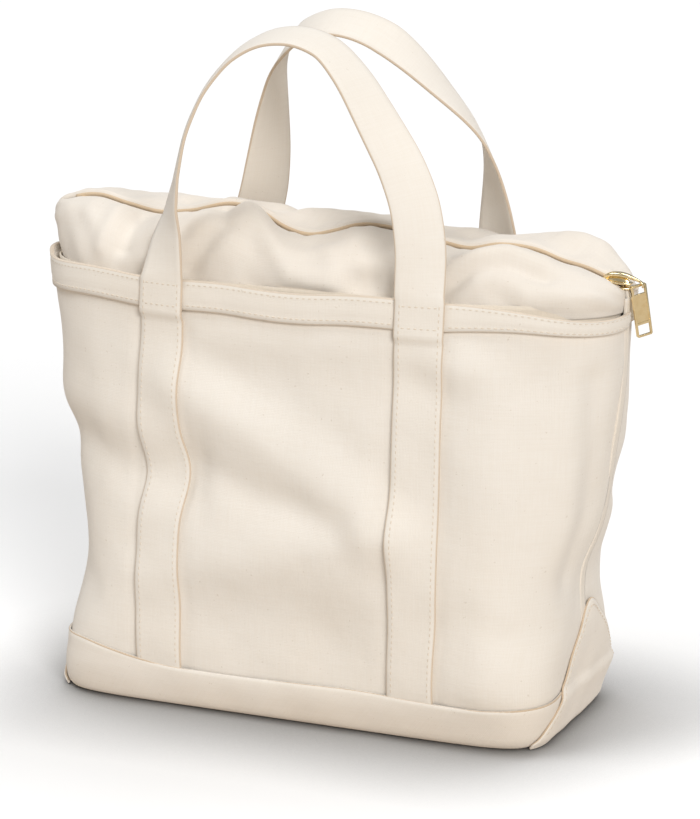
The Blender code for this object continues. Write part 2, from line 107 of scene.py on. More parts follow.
def ripple(a, z, size, height, seed):
    # sum of eight sine waves of about one length, each in its own direction
    dice, waves, total = np.random.default_rng(seed), 8, 0.0
    angles = dice.uniform(0, pi, waves)
    lengths = size * dice.uniform(0.7, 1.5, waves)
    for angle, length, phase in zip(angles, lengths, dice.uniform(0, 2 * pi, waves)):
        total = total + np.sin(2 * pi * (a * cos(angle) + z * sin(angle)) / length + phase)
    return height * total / waves ** 0.5


# the bag's wall, looked up by the distance round it
def wallTables():
    # the rounded outline x = w c k, y = d s k with k = (|c|^n + |s|^n)^(-1/n), read at even distances;
    # the power n is larger low down, where the base makes squarer corners
    zs = np.linspace(0.0, 0.3, 121)
    arcs = np.linspace(-0.28, 0.28, 561)
    turn = np.linspace(0, pi, 1441)[None, :]
    c, s = -np.cos(turn), np.sin(turn)
    corner = bagShape["corner"]
    tables = []
    for side in (front, rear):
        cols = bagShape["outline"]
        w, d, n = (softCurve(zs, cols[:, 0], cols[:, k])[:, None] for k in (1, 2 + 2 * side, 3 + 2 * side))
        n = n + np.where(c < 0, corner["left"], corner["right"]) * ease(1 - zs[:, None] / corner["height"])
        k = (np.abs(c) ** n + np.abs(s) ** n) ** (-1 / n)
        x, y = w * c * k, d * s * k
        length = np.concatenate([np.zeros((len(zs), 1)), np.cumsum(np.hypot(np.diff(x), np.diff(y)), 1)], 1)
        length -= length[:, -1:] / 2
        nx, ny = np.gradient(y, axis=1), -np.gradient(x, axis=1)
        size = np.hypot(nx, ny)
        rows = [[np.interp(arcs, length[i], v[i]) for i in range(len(zs))]
                for v in (x, y, -nx / size, -ny / size)]
        tables.append((np.array(rows), length[:, -1]))
    return zs, arcs, tables


wallZ, wallArc, wallTable = wallTables()
endLean = {
    # heights and how far the end leans in there, then where along x the lean starts and its span
    "left": ((0.0, 0.03, 0.06, 0.09, 0.12, 0.15, 0.185, 0.22, 0.286, 0.33),
             (-0.002, 0.01, 0.015, 0.0165, 0.0165, 0.0145, 0.0105, 0.0075, 0.003, 0.002), 0.11, 0.07),
    "right": ((0.0, 0.015, 0.03, 0.05, 0.07, 0.09, 0.12, 0.33),
              (0.003, 0.0052, 0.0066, 0.0074, 0.006, 0.0034, 0.0, 0.0), 0.12, 0.055),
}


def leanIn(x, z):
    # slack ends lean in: each end moves by pull(z) * ease((distance along x - start) / span)
    left, right = (softCurve(z, heights, pull) * ease((hand * x - start) / span)
                   for hand, (heights, pull, start, span) in ((-1, endLean["left"]), (1, endLean["right"])))
    return x + left - right


def halfLength(z, side):
    return np.interp(z, wallZ, wallTable[side][1])


def wallPoint(a, z, side, out):
    # the table's point at distance a and height z, moved out along its level normal
    a, z, out = np.broadcast_arrays(a, z, out)
    i = np.clip((z - wallZ[0]) / (wallZ[1] - wallZ[0]), 0, len(wallZ) - 1.001)
    j = np.clip((a - wallArc[0]) / (wallArc[1] - wallArc[0]), 0, len(wallArc) - 1.001)
    i0, j0 = i.astype(int), j.astype(int)
    ti, tj = i - i0, j - j0
    t = wallTable[side][0]
    mix = (t[:, i0, j0] * (1 - ti) * (1 - tj) + t[:, i0 + 1, j0] * ti * (1 - tj)
           + t[:, i0, j0 + 1] * (1 - ti) * tj + t[:, i0 + 1, j0 + 1] * ti * tj)
    x, y = leanIn(mix[0] + mix[2] * out, z), sideSign[side] * (mix[1] + mix[3] * out)
    normal = np.stack([mix[2], sideSign[side] * mix[3], np.zeros_like(x)], -1)
    return np.stack([x, y, z], -1), normal


def ringPoint(b, z, hand, out):
    # b is the distance from the side seam of one end, negative on the front half
    b, z, out = np.broadcast_arrays(b, z, out)
    frontP, frontN = wallPoint(hand * (halfLength(z, front) + b), z, front, out)
    rearP, rearN = wallPoint(hand * (halfLength(z, rear) - b), z, rear, out)
    pick = (b < 0)[..., None]
    return np.where(pick, frontP, rearP), np.where(pick, frontN, rearN)


def meshPiece(name, mesh, material, body="bag", replaces=(), slot="canvas"):
    # a smooth piece that rides on one body, or on none
    mesh.polygons.foreach_set("use_smooth", [True] * len(mesh.polygons))
    mesh.materials.append(material)
    piece = bpy.data.objects.new(name, mesh)
    bpy.context.scene.collection.objects.link(piece)
    if body:
        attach(piece, body)
    if replaces:
        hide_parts(*replaces)
    return piece


def newPiece(name, points, quads, material, uv=None, **more):
    mesh = bpy.data.meshes.new(name)
    mesh.from_pydata(np.asarray(points, float).reshape(-1, 3).tolist(), [], quads)
    if uv is not None:
        flat = np.zeros((len(mesh.loops), 2), np.float32)
        flat[:len(uv)] = uv
        mesh.uv_layers.new(name="UVMap").data.foreach_set("uv", flat.reshape(-1))
    return meshPiece(name, mesh, material, **more)


def clothMap(across, along, wrap=False):
    # UV in metres of cloth: (across, along) at each point of the grid, with the first column again at the end
    uv = np.stack(np.broadcast_arrays(across, along), -1)
    return np.concatenate([uv, uv[:, :1]], 1) if wrap else uv


def gridPiece(name, points, material, uv=None, wrap=False, flip=False, caps=False, thick=0, offset=0, **more):
    # quads between neighbouring rows and columns; without a UV map, distances along both ways make one
    rows, columns = points.shape[:2]
    index = np.arange(rows * columns).reshape(rows, columns)
    closed = points
    if wrap:
        index = np.concatenate([index, index[:, :1]], 1)
        closed = np.concatenate([points, points[:, :1]], 1)
    if uv is None:
        across = np.linalg.norm(np.diff(closed, axis=1), axis=2)
        along = np.linalg.norm(np.diff(closed, axis=0), axis=2)
        u = np.concatenate([np.zeros((rows, 1)), np.cumsum(across, 1)], 1)
        v = np.concatenate([np.zeros((1, closed.shape[1])), np.cumsum(along, 0)], 0)
        uv = clothMap(u - u[:, -1:] / 2, v.mean(1, keepdims=True))
    order = ((0, 0), (0, 1), (1, 1), (1, 0))[::-1 if flip else 1]
    r, c = rows - 1, index.shape[1] - 1
    quads = np.stack([index[i:i + r, j:j + c] for i, j in order], -1).reshape(-1, 4).tolist()
    loops = np.stack([uv[i:i + r, j:j + c] for i, j in order], -2).reshape(-1, 2)
    if caps:
        first, last = list(range(columns)), list(range((rows - 1) * columns, rows * columns))
        quads += [first if flip else first[::-1], last[::-1] if flip else last]
    piece = newPiece(name, points, quads, material, loops, **more)
    if thick:
        shell = piece.modifiers.new("Cloth thickness", "SOLIDIFY")
        shell.thickness, shell.offset, shell.use_rim = thick, offset, True
    return piece


def bandPiece(name, points, material, **more):
    # a closed tube of rings with both its ends filled
    return gridPiece(name, points, material, wrap=True, caps=True, **more)


def ringTurn(count):
    # even turns once round, the last one short of the first
    return np.linspace(0, 2 * pi, count, endpoint=False)[None, :]


def unit(vectors):
    return vectors / np.maximum(np.linalg.norm(vectors, axis=-1, keepdims=True), 1e-12)


def pushOut(points, amount, way=1):
    # moves each point along the grid's own normal
    normal = unit(np.cross(np.gradient(points, axis=1), np.gradient(points, axis=0)))
    return points + way * normal * amount[..., None]


def tubeQuads(rows, ring):
    # the faces of one small tube, wound outwards
    index = np.arange(rows * ring).reshape(rows, ring)
    index = np.concatenate([index, index[:, :1]], 1)
    return np.stack([index[:-1, :-1], index[:-1, 1:], index[1:, 1:], index[1:, :-1]], -1).reshape(-1, 4)


threadShape = {"length": 0.0029, "pitch": 0.004, "wide": 0.00042, "high": 0.00034, "dip": 0.0003,
               "skew": 0.1, "ring": 6, "rows": 5}


def stitches(name, paths, **more):
    # one squashed capsule per stitch, fat = sqrt(1 - |t|^3), its ends dipping into the cloth by dip * t^2
    ring, rows = threadShape["ring"], threadShape["rows"]
    t, turn = np.linspace(-1, 1, rows)[:, None], ringTurn(ring)
    fat = np.sqrt(np.clip(1 - np.abs(t) ** 3, 0.05, 1))
    shape = np.stack(np.broadcast_arrays(
        t * threadShape["length"] / 2, fat * np.cos(turn) * threadShape["wide"],
        fat * np.sin(turn) * threadShape["high"] - threadShape["dip"] * t * t), -1).reshape(-1, 3)
    quads = tubeQuads(rows, ring)[:, ::-1]
    points, faces, start = [], [], 0
    for path, normals in paths:
        length = np.concatenate([[0], np.cumsum(np.linalg.norm(np.diff(path, axis=0), axis=1))])
        count = max(int(length[-1] / threadShape["pitch"]), 2)
        at = (np.arange(count) + 0.5) * length[-1] / count
        centre, ahead, back, normal = (
            np.stack([np.interp(at + move, length, line[:, k]) for k in range(3)], 1)
            for line, move in ((path, 0), (path, 0.001), (path, -0.001), (normals, 0)))
        way = unit(ahead - back)
        side = np.cross(normal, way)
        side = unit(side + way * rng.uniform(-threadShape["skew"], threadShape["skew"], count)[:, None])
        normal = np.cross(way, side)
        sewn = (centre[:, None] + way[:, None] * shape[None, :, :1] + side[:, None] * shape[None, :, 1:2]
                + normal[:, None] * shape[None, :, 2:])
        points.append(sewn.reshape(-1, 3))
        faces.append((quads[None] + start + (np.arange(count) * len(shape))[:, None, None]).reshape(-1, 4))
        start += count * len(shape)
    return newPiece(name, np.concatenate(points), np.concatenate(faces).tolist(), threadCloth, **more)


def edgeCord(name, line, normals, half):
    # a raw folded edge: a small round rib carried along a line
    way = unit(np.gradient(line, axis=0))
    side, turn = unit(np.cross(normals, way)), ringTurn(8)[..., None]
    rim = np.cos(turn) * side[:, None] + np.sin(turn) * np.cross(way, side)[:, None]
    points = line[:, None] + half * rim
    return bandPiece(name, points, edgeCloth)


# materials: node helpers first, then two shared groups, then the finishes
def feed(tree, node, given):
    # sets a node's inputs: a socket is linked, a colour gets its alpha, a number is set
    for label, value in given.items():
        if isinstance(value, bpy.types.NodeSocket):
            tree.links.new(value, node.inputs[label])
        else:
            isColour = isinstance(value, tuple) and node.inputs[label].type == "RGBA"
            node.inputs[label].default_value = (*value, 1.0) if isColour else value


def addNode(tree, kind, given, **settings):
    node = tree.nodes.new("ShaderNode" + kind)
    for label, value in settings.items():
        setattr(node, label, value)
    feed(tree, node, given)
    return node


def addMath(tree, kind, *values):
    return addNode(tree, "Math", dict(enumerate(values)), operation=kind).outputs[0]


def addMix(tree, share, a, b):
    return addNode(tree, "Mix", {0: share, 6: a, 7: b}, data_type="RGBA").outputs[2]


def addNoise(tree, vector, scale, detail=3.0, rough=0.5):
    given = {"Vector": vector, "Scale": scale, "Detail": detail, "Roughness": rough}
    return addNode(tree, "TexNoise", given).outputs["Fac"]


def addRange(tree, value, low, high, toLow=0.0, toHigh=1.0):
    given = {0: value, 1: low, 2: high, 3: toLow, 4: toHigh}
    return addNode(tree, "MapRange", given, interpolation_type="SMOOTHSTEP").outputs[0]


def addScaled(tree, vector, scale):
    return addNode(tree, "VectorMath", {0: vector, 1: scale}, operation="MULTIPLY").outputs[0]


def addBump(tree, height, strength, distance, **below):
    given = {"Height": height, "Strength": strength, "Distance": distance, **below}
    return addNode(tree, "Bump", given).outputs[0]


def nodeGroup(name, inputs, outputs):
    group = bpy.data.node_groups.new(name, "ShaderNodeTree")
    for way, sockets in (("INPUT", inputs), ("OUTPUT", outputs)):
        for label, kind in sockets.items():
            group.interface.new_socket(label, in_out=way, socket_type="NodeSocket" + kind)
    return group, group.nodes.new("NodeGroupInput").outputs, group.nodes.new("NodeGroupOutput")


def weaveGroup():
    # plain weave: each yarn is a sine ridge, and rises where it passes over the other set
    group, given, result = nodeGroup("plain weave", {"Cloth": "Vector", "Pitch": "Float"},
                                     {"Height": "Float", "Yarn": "Float"})
    wander = addNoise(group, given["Cloth"], 90.0, 2.0)
    split = addNode(group, "SeparateXYZ", {0: given["Cloth"]}).outputs
    moved = [addMath(group, "MULTIPLY_ADD", wander, 0.0012, split[axis]) for axis in (0, 1)]
    angles = [addMath(group, "MULTIPLY", addMath(group, "DIVIDE", v, given["Pitch"]), pi) for v in moved]
    over = addMath(group, "MULTIPLY", *(addMath(group, "COSINE", angle) for angle in angles))
    ridges = []
    for angle, lift in zip(angles, (0.4, -0.4)):
        ridge = addMath(group, "ABSOLUTE", addMath(group, "SINE", angle))
        ridges.append(addMath(group, "MULTIPLY", ridge, addMath(group, "MULTIPLY_ADD", over, lift, 0.6)))
    streaks = [addNoise(group, addScaled(group, given["Cloth"], scale), 1.0, 2.0)
               for scale in ((40.0, 900.0, 1.0), (900.0, 40.0, 1.0))]
    feed(group, result, {"Height": addMath(group, "MAXIMUM", *ridges),
                         "Yarn": addMath(group, "MULTIPLY", addMath(group, "ADD", *streaks), 0.5)})
    return group


def toneGroup():
    # natural cotton: broad cloudy tone, small flecks of seed, and a little dust low down
    taken = {"Place": "Vector", "Yarn": "Float", "Light": "Color", "Dark": "Color", "Fleck": "Float"}
    group, given, result = nodeGroup("natural tone", taken, {"Color": "Color", "Rough": "Float"})
    cloud = addRange(group, addNoise(group, given["Place"], 7.0, 4.0, 0.55), 0.35, 0.72)
    yarn = addRange(group, given["Yarn"], 0.36, 0.64)
    share = addMath(group, "MULTIPLY_ADD", cloud, 0.35, addMath(group, "MULTIPLY", yarn, 0.22))
    height = addNode(group, "SeparateXYZ", {0: given["Place"]}).outputs[2]
    dust = addRange(group, height, 0.0, 0.035, 0.3, 0.0)
    share = addMath(group, "ADD", share, addMath(group, "MULTIPLY", dust, cloud))
    colour = addMix(group, share, given["Light"], given["Dark"])
    seeds = addRange(group, addNoise(group, given["Place"], 420.0, 1.0), 0.735, 0.79)
    seeds = addMath(group, "MULTIPLY", seeds, given["Fleck"])
    feed(group, result, {"Color": addMix(group, seeds, colour, (0.46, 0.36, 0.24)),
                         "Rough": addMath(group, "MULTIPLY_ADD", cloud, 0.05, 0.86)})
    return group


weave, tone = weaveGroup(), toneGroup()


def startMaterial(name):
    material = bpy.data.materials.new(name)
    material.use_nodes = True
    tree = material.node_tree
    return material, tree, tree.nodes["Principled BSDF"], addNode(tree, "TexCoord", {}).outputs


def clothMaterial(name, light, dark, pitch=0.00095, weaveBump=0.00018, fleck=0.25, edge=None):
    # weave and yarn over the cloth's own UV, cloudy tone over the bag, small creases under both
    material, tree, surface, place = startMaterial(name)
    cloth = addNode(tree, "Group", {}, node_tree=weave)
    feed(tree, cloth, {"Cloth": place["UV"], "Pitch": pitch})
    yarn = cloth.outputs["Yarn"]
    shade = addNode(tree, "Group", {}, node_tree=tone)
    feed(tree, shade, {"Place": place["Object"], "Yarn": yarn, "Light": light, "Dark": dark, "Fleck": fleck})
    colour = shade.outputs["Color"]
    if edge:
        # a tan line where the band's edge has yellowed, by the distance across it
        across = addMath(tree, "ABSOLUTE", addNode(tree, "SeparateXYZ", {0: place["UV"]}).outputs[0])
        line = addMath(tree, "MULTIPLY", addRange(tree, across, edge["from"], edge["to"]), edge["share"])
        colour = addMix(tree, line, colour, edge["colour"])
    normal = addBump(tree, addNoise(tree, place["Object"], 55.0, 3.0, 0.6), 0.5, 0.0008)
    normal = addBump(tree, yarn, 0.35, 0.0002, Normal=normal)
    normal = addBump(tree, cloth.outputs["Height"], 0.6, weaveBump, Normal=normal)
    feed(tree, surface, {"Base Color": colour, "Roughness": shade.outputs["Rough"], "Normal": normal,
                         "Sheen Weight": 0.25, "Sheen Roughness": 0.5, "Specular IOR Level": 0.25})
    return material


def metalMaterial(name, colour, dark, rough):
    # a cloudy tarnish over the colour, and fine drawn lines in the roughness and bump
    material, tree, surface, place = startMaterial(name)
    tarnish = addRange(tree, addNoise(tree, place["Object"], 260.0, 4.0, 0.6), 0.4, 0.75, 0.0, 0.5)
    fine = addNoise(tree, addScaled(tree, place["Object"], (900.0, 900.0, 5200.0)), 1.0, 2.0)
    feed(tree, surface, {"Base Color": addMix(tree, tarnish, colour, dark), "Metallic": 1.0,
                         "Roughness": addMath(tree, "MULTIPLY_ADD", fine, 0.16, rough - 0.08),
                         "Normal": addBump(tree, fine, 0.15, 0.00004)})
    return material


canvasBody = clothMaterial("pocket canvas", (0.862, 0.812, 0.74), (0.795, 0.72, 0.62))
# painted shade: the top panels get a darker copy of the pocket canvas, because the lamps light them more than
# the pocket
shadedTopCanvas = clothMaterial("top canvas", (0.81, 0.75, 0.672), (0.755, 0.67, 0.57))
canvasBase = clothMaterial("base canvas", (0.872, 0.815, 0.738), (0.805, 0.725, 0.622), 0.0012, 0.00024)
canvasHem = clothMaterial("hem canvas", (0.862, 0.808, 0.73), (0.795, 0.715, 0.612),
                          edge={"from": 0.0084, "to": 0.0094, "share": 0.55, "colour": (0.66, 0.5, 0.34)})
seamCloth = clothMaterial("seam canvas", (0.85, 0.785, 0.695), (0.77, 0.68, 0.565))
edgeCloth = clothMaterial("raw edge", (0.7, 0.56, 0.41), (0.6, 0.45, 0.3), 0.0005, fleck=0.0)
bandCloth = clothMaterial("strap canvas", (0.862, 0.81, 0.735), (0.798, 0.722, 0.622), fleck=0.15,
                          edge={"from": 0.0148, "to": 0.0157, "share": 0.7, "colour": (0.6, 0.45, 0.3)})
innerCloth = clothMaterial("inner canvas", (0.8, 0.715, 0.6), (0.7, 0.6, 0.475))
tapeCloth = clothMaterial("zip tape", (0.74, 0.59, 0.42), (0.64, 0.48, 0.31), 0.0006)
threadCloth = clothMaterial("cotton thread", (0.79, 0.705, 0.59), (0.64, 0.535, 0.41), 0.0004, fleck=0.0)
brass = metalMaterial("brass", (0.95, 0.8, 0.5), (0.78, 0.57, 0.27), 0.22)
print("materials made")


# how the cloth lies: dents and folds of the front and the rear
pocketFolds = {
    "scale": 1.0,
    # crest or valley lines in (distance round, height), then width and height, all in metres
    "lines": [
        ([(-0.078, 0.22), (-0.01, 0.186), (0.053, 0.148), (0.07, 0.136)], 0.02, 0.0058),
        ([(-0.07, 0.238), (0.023, 0.204), (0.076, 0.164)], 0.016, -0.0016),
        ([(-0.072, 0.172), (-0.017, 0.152), (0.036, 0.14)], 0.013, -0.003),
        ([(-0.13, 0.078), (-0.071, 0.098), (-0.023, 0.11), (0.023, 0.126), (0.066, 0.136)], 0.02, 0.0036),
        ([(0.106, 0.262), (0.14, 0.216), (0.132, 0.13), (0.14, 0.092), (0.132, 0.05)], 0.022, 0.0042),
        ([(0.088, 0.236), (0.112, 0.226)], 0.011, -0.0016),
        ([(-0.2, 0.197), (-0.12, 0.194), (-0.078, 0.186)], 0.017, 0.0022),
        ([(-0.215, 0.17), (-0.179, 0.172), (-0.12, 0.162), (-0.078, 0.157)], 0.017, -0.0042),
        ([(0.198, 0.235), (0.202, 0.15), (0.196, 0.11)], 0.012, -0.0034),
        ([(0.184, 0.25), (0.178, 0.19), (0.184, 0.15)], 0.011, 0.0014),
    ],
    # centre, half sizes, height
    "humps": [
        (-0.002, 0.262, 0.06, 0.018, 0.0022),
        (-0.01, 0.232, 0.055, 0.018, -0.002),
        (0.0, 0.118, 0.075, 0.034, 0.0048),
        (0.01, 0.062, 0.08, 0.026, -0.0036),
        (0.16, 0.05, 0.045, 0.055, 0.006),
        (0.098, 0.19, 0.02, 0.035, -0.002),
        (-0.15, 0.11, 0.04, 0.03, 0.0016),
    ],
}
rearFolds = {
    "scale": 1.5,
    "lines": [
        ([(0.074, 0.205), (0.01, 0.17), (-0.062, 0.15)], 0.022, 0.0034),
        ([(0.07, 0.168), (0.0, 0.14)], 0.018, -0.0032),
        ([(-0.18, 0.235), (-0.12, 0.19)], 0.016, 0.0034),
        ([(0.19, 0.16), (0.11, 0.14)], 0.016, -0.0036),
        ([(-0.2, 0.23), (-0.198, 0.12)], 0.012, -0.0032),
    ],
    "humps": [
        (0.0, 0.242, 0.06, 0.022, -0.003),
        (-0.15, 0.06, 0.05, 0.05, 0.0045),
        (0.15, 0.06, 0.05, 0.05, 0.004),
    ],
}


def clothFolds(a, z, side):
    # sum of the folds and humps, plus two soft ripples; all fade away at the hem and at the base
    given = (pocketFolds, rearFolds)[side]
    total = ripple(a, z, 0.075, 0.0007, 3 + side) + ripple(a, z, 0.03, 0.00018, 5 + side)
    for line, width, height in given["lines"]:
        total = total + fold(a, z, line, width, given["scale"] * height)
    for *place, height in given["humps"]:
        total = total + hump(a, z, *place, given["scale"] * height)
    return total * ease((bagShape["hemTop"] - 0.014 - z) / 0.03) * ease((z - 0.01) / 0.03)


def besideStraps(a, z, side):
    # the panel sinks a little beside each strap edge
    near = np.abs(np.abs(a) - bagShape["strapX"]) - bagShape["strapHalf"] - 0.003
    sink = -0.0009 * np.exp(-(near / 0.004) ** 2)
    if side == front:
        sink = sink + hump(a, z, -0.062, 0.16, 0.01, 0.03, -0.0035)
        sink = sink + hump(a, z, 0.066, 0.15, 0.007, 0.06, -0.002)
    return sink * ease((bagShape["hemTop"] - 0.016 - z) / 0.02)


def endPinch(a, z):
    # the ends draw in just above the base corners and swell again over them
    pinch, swell = np.exp(-((z - 0.104) / 0.024) ** 2), np.exp(-((z - 0.2) / 0.05) ** 2)
    return ease((np.abs(a) - 0.15) / 0.05) * (0.002 * swell - 0.006 * pinch)


def hemDrop(a, side):
    # the right end of the pocket hem hangs lower and stands off the body
    return 0.0095 * ease((a - 0.1) / 0.1) if side == front else 0.0 * a


def mouthGape(a, z):
    # the pocket's mouth stands open at both ends
    right, left = np.exp(-((a - 0.165) / 0.04) ** 2), np.exp(-((a + 0.17) / 0.03) ** 2)
    return ease((z - 0.225) / 0.055) * (0.005 * right + 0.0025 * left)


def wallOut(a, z, side, layer, stiff=False):
    # how far out a layer lies there; a stiff one doesn't sink beside the straps
    out = layer + clothFolds(a, z, side) + endPinch(a, z)
    if side == front:
        out = out + mouthGape(a, z)
    return out if stiff else out + besideStraps(a, z, side)


bodyPanels = {
    # columns and rows of the grids, and the gap left at each side seam
    "columns": 190, "rows": 100, "gap": 0.003,
    # its node, side, lowest and highest edge, layer, cloth, whether it is the inner front, flat size
    "pocketPanel": ("pocket_panel", front, 0.006, 0.2845, 0.001, canvasBody, False, (0.47, 0.28)),
    "frontBody": ("body_front_panel", front, 0.004, 0.285, -0.0024, innerCloth, True, (0.47, 0.282)),
    "rearBody": ("body_rear_panel", rear, 0.004, 0.285, -0.0006, canvasBody, False, (0.47, 0.282)),
}


def setBack(z, y):
    # the inner front stands back behind the pocket by up to the pocket's own room
    limit = np.minimum(-y, bagShape["innerDepth"] + 0.0006)
    start = bagShape["pocketStart"]
    return (-y - limit) * ease((z - start) / (bagShape["hemTop"] - start))


def wallPanel(name):
    # a panel from one side seam round to the other, between two heights
    node, side, low, high, layer, material, inner, flat = bodyPanels[name]
    u = np.linspace(-1, 1, bodyPanels["columns"])[None, :]
    v = np.linspace(0, 1, bodyPanels["rows"])[:, None]
    top = high - (0 if inner else hemDrop(u * (halfLength(0.28, side) - bodyPanels["gap"]), side))
    z = low + (top - low) * v
    a = u * (halfLength(z, side) - bodyPanels["gap"])
    points, _ = wallPoint(a, z, side, wallOut(a, z, side, layer) - (mouthGape(a, z) if inner else 0))
    if inner:
        points[..., 1] += setBack(z, points[..., 1])
    piece = gridPiece(name, points, material, clothMap(a, z), thick=bagShape["canvas"], replaces=[node],
                      flip=side == rear)


for name in ("pocketPanel", "frontBody", "rearBody"):
    wallPanel(name)
print("body panels made")

# hems: a folded band with a rounded upper edge, and a groove along each of its two stitched rows
hemShape = {"thick": 0.003, "columns": 200, "edge": 0.0006, "gap": 0.002, "rows": (-0.0065, 0.0068),
            "groove": (0.0006, 0.0005), "grooveWidth": 0.0016, "layer": (0.0028, 0.0014)}


def closedBand(half, thick, flat=9):
    # a flat band's outline, anticlockwise: (across, out) pairs with rounded edges
    a = np.linspace(-0.972, 0.972, flat)
    edge = [(0.992, 0.55), (1.0, 0.0), (0.992, -0.55)]
    ring = [(v, 1.0) for v in a] + edge + [(v, -1.0) for v in a[::-1]] + [(-p, -q) for p, q in edge]
    ring = np.array(ring)
    return ring[:, 0] * half, ring[:, 1] * thick / 2


def hemTaper(a, side):
    # the front band rolls forward towards its right end, so it shows less of its width
    return 1 - 0.52 * ease((a - 0.075) / 0.12) if side == front else 1 + 0 * a


def hemMiddle(a, side):
    # the band's middle height; its left end curls up a little
    curl = 0.003 * ease((-a - 0.196) / 0.022) if side == front else 0 * a
    return bagShape["hemTop"] - 0.0088 * hemTaper(a, side) - hemDrop(a, side) + curl


def hemWave(a, side):
    # small waves of the band, outwards and up
    return ripple(a, 0 * a, 0.045, 0.00045, 21 + side), ripple(a, 0 * a + 0.01, 0.09, 0.0007, 23 + side)


def hemBand(name, side, node):
    half = bagShape["hemBand"] / 2 + hemShape["edge"]
    across, out = (v[None, :] for v in closedBand(half, hemShape["thick"], 7))
    a = np.linspace(-1, 1, hemShape["columns"])[:, None] * (halfLength(0.276, side) - hemShape["gap"])
    z = hemMiddle(a, side) + across * hemTaper(a, side)
    dip = sum(deep * np.exp(-((across - row) / hemShape["grooveWidth"]) ** 2)
              for deep, row in zip(hemShape["groove"], hemShape["rows"]))
    outWave, upWave = hemWave(a, side)
    layer = wallOut(a, z, side, hemShape["layer"][side])
    points, _ = wallPoint(a, z, side, layer + out + outWave - dip * (out > 0))
    points[..., 2] += upWave
    bandPiece(name, points, canvasHem, uv=clothMap(across, a, True), flip=side == front, replaces=[node])


hemBand("pocketHem", front, "pocket_hem")
hemBand("rearHem", rear, "rear_hem")

baseShape = {
    "columns": 260, "thick": 0.0016, "layer": 0.003, "wall": 12, "underside": (0.03, 0.3, 0.6, 0.85, 0.95),
    # the seam's height in the middle, and its rise towards each end
    "seam": 0.03, "leftRise": 0.011, "rightRise": 0.0015,
    # heights and layers round the bottom edge
    "edge": ((0.0004, -0.0046), (0.001, -0.0018), (0.0024, 0.0008), (0.005, 0.0024), (0.0085, 0.003)),
}


def bootTop(a):
    # the seam runs level in the middle and climbs towards both ends
    left = baseShape["leftRise"] * ease((-a - 0.078) / 0.085)
    right = baseShape["rightRise"] * ease((a - 0.11) / 0.08)
    return baseShape["seam"] + left + right + 0.0008 * np.sin(a * 38)


def bootPiece():
    # rows from the middle of the underside out, up round the bottom edge and to the seam
    heights, layers = np.array(baseShape["edge"]).T
    share = np.linspace(0.1, 1, baseShape["wall"])[:, None]
    out = np.array([*layers, *[baseShape["layer"]] * len(share), baseShape["layer"] - 0.0006])[:, None]
    turn = np.linspace(-1, 1, baseShape["columns"] // 2, endpoint=False)[None, :]
    halves = []
    for side, u in ((front, turn), (rear, -turn)):
        top = bootTop(u * halfLength(0.03, side))
        wall = heights[-1] + (top - heights[-1]) * share
        z = np.concatenate([heights[:, None] + 0 * u, wall, top + 0.0002])
        a = u * halfLength(z, side)
        swell = 0.0012 * np.sin(np.clip((z - 0.004) / 0.028, 0, 1) * pi)
        fit = clothFolds(a, np.maximum(z, 0.001), side) + endPinch(a, z)
        wave = ripple(a, z, 0.05, 0.0004, 31 + side) * ease(z / 0.01)
        halves.append(wallPoint(a, z, side, out + swell + fit + wave)[0])
    ring = np.concatenate(halves, 1)
    under = [ring[:1] * (k, k, 0) + (0, 0, heights[0]) for k in baseShape["underside"]]
    piece = gridPiece("baseBoot", np.concatenate(under + [ring], 0), canvasBase, wrap=True,
                      thick=baseShape["thick"], replaces=["base_boot"])


bootPiece()
earShape = {"half": 0.07, "middle": 0.011, "low": 0.001, "foot": 0.003, "top": 0.082, "power": 1.2,
            "layer": 0.003, "step": 0.0034, "inset": 0.0042}


def endOut(b, z, hand):
    # the folds of both panels where they meet, blended across the side seam
    ends = [wallOut(hand * (halfLength(z, side) - np.maximum(way * b, 0)), z, side, 0)
            for side, way in ((front, -1), (rear, 1))]
    return ends[0] + (ends[1] - ends[0]) * ease((b + 0.012) / 0.024)


def earSurface(b, z, v, hand):
    # steps up over the base piece below its seam; the upper rim is pressed flat
    rim = ease((1 - v) / 0.12)
    middle = np.exp(-((b - earShape["middle"]) / 0.04) ** 2) * np.exp(-((z - 0.044) / 0.026) ** 2)
    low = 0.0028 * ease(1 - z / 0.007)
    seam = baseShape["seam"] + baseShape["leftRise" if hand < 0 else "rightRise"]
    step = earShape["layer"] + earShape["step"] * ease((seam + 0.005 - z) / 0.009)
    out = step - 0.0006 + 0.0006 * rim + 0.001 * middle - low + endOut(b, z, hand)
    return ringPoint(b, z, hand, out + ripple(b, z, 0.03, 0.0003, 41 + hand))


def earTop(b):
    # a pointed arch: foot + rise * (1 - |s|^power), its point rounded off
    s = (np.hypot((b - earShape["middle"]) / earShape["half"], 0.04) - 0.04) / (np.hypot(1, 0.04) - 0.04)
    arch = 1 - np.clip(s, 0, 1) ** earShape["power"]
    return earShape["foot"] + (earShape["top"] - earShape["foot"]) * arch


def earPiece(name, hand, node):
    b = earShape["middle"] + np.linspace(-1, 1, 121)[None, :] * earShape["half"]
    v = np.linspace(0, 1, 36)[:, None]
    z = earShape["low"] + (earTop(b) - earShape["low"]) * v
    points, normal = earSurface(b, z, v, hand)
    piece = gridPiece(name, points, canvasBase, clothMap(b, z), thick=0.0014, replaces=[node], flip=hand > 0)
    edgeCord(name + "Edge", points[-1], normal[-1], 0.0007)


def earRow(hand):
    # the stitched row follows the rim from foot to foot
    b = np.linspace(-0.9, 0.9, 300) * earShape["half"] + earShape["middle"]
    z = earTop(b) - earShape["inset"]
    b, z = b[z > 0.006], z[z > 0.006]
    points, normal = earSurface(b, z, 0.9 + 0 * z, hand)
    return points + normal * 0.0008, normal


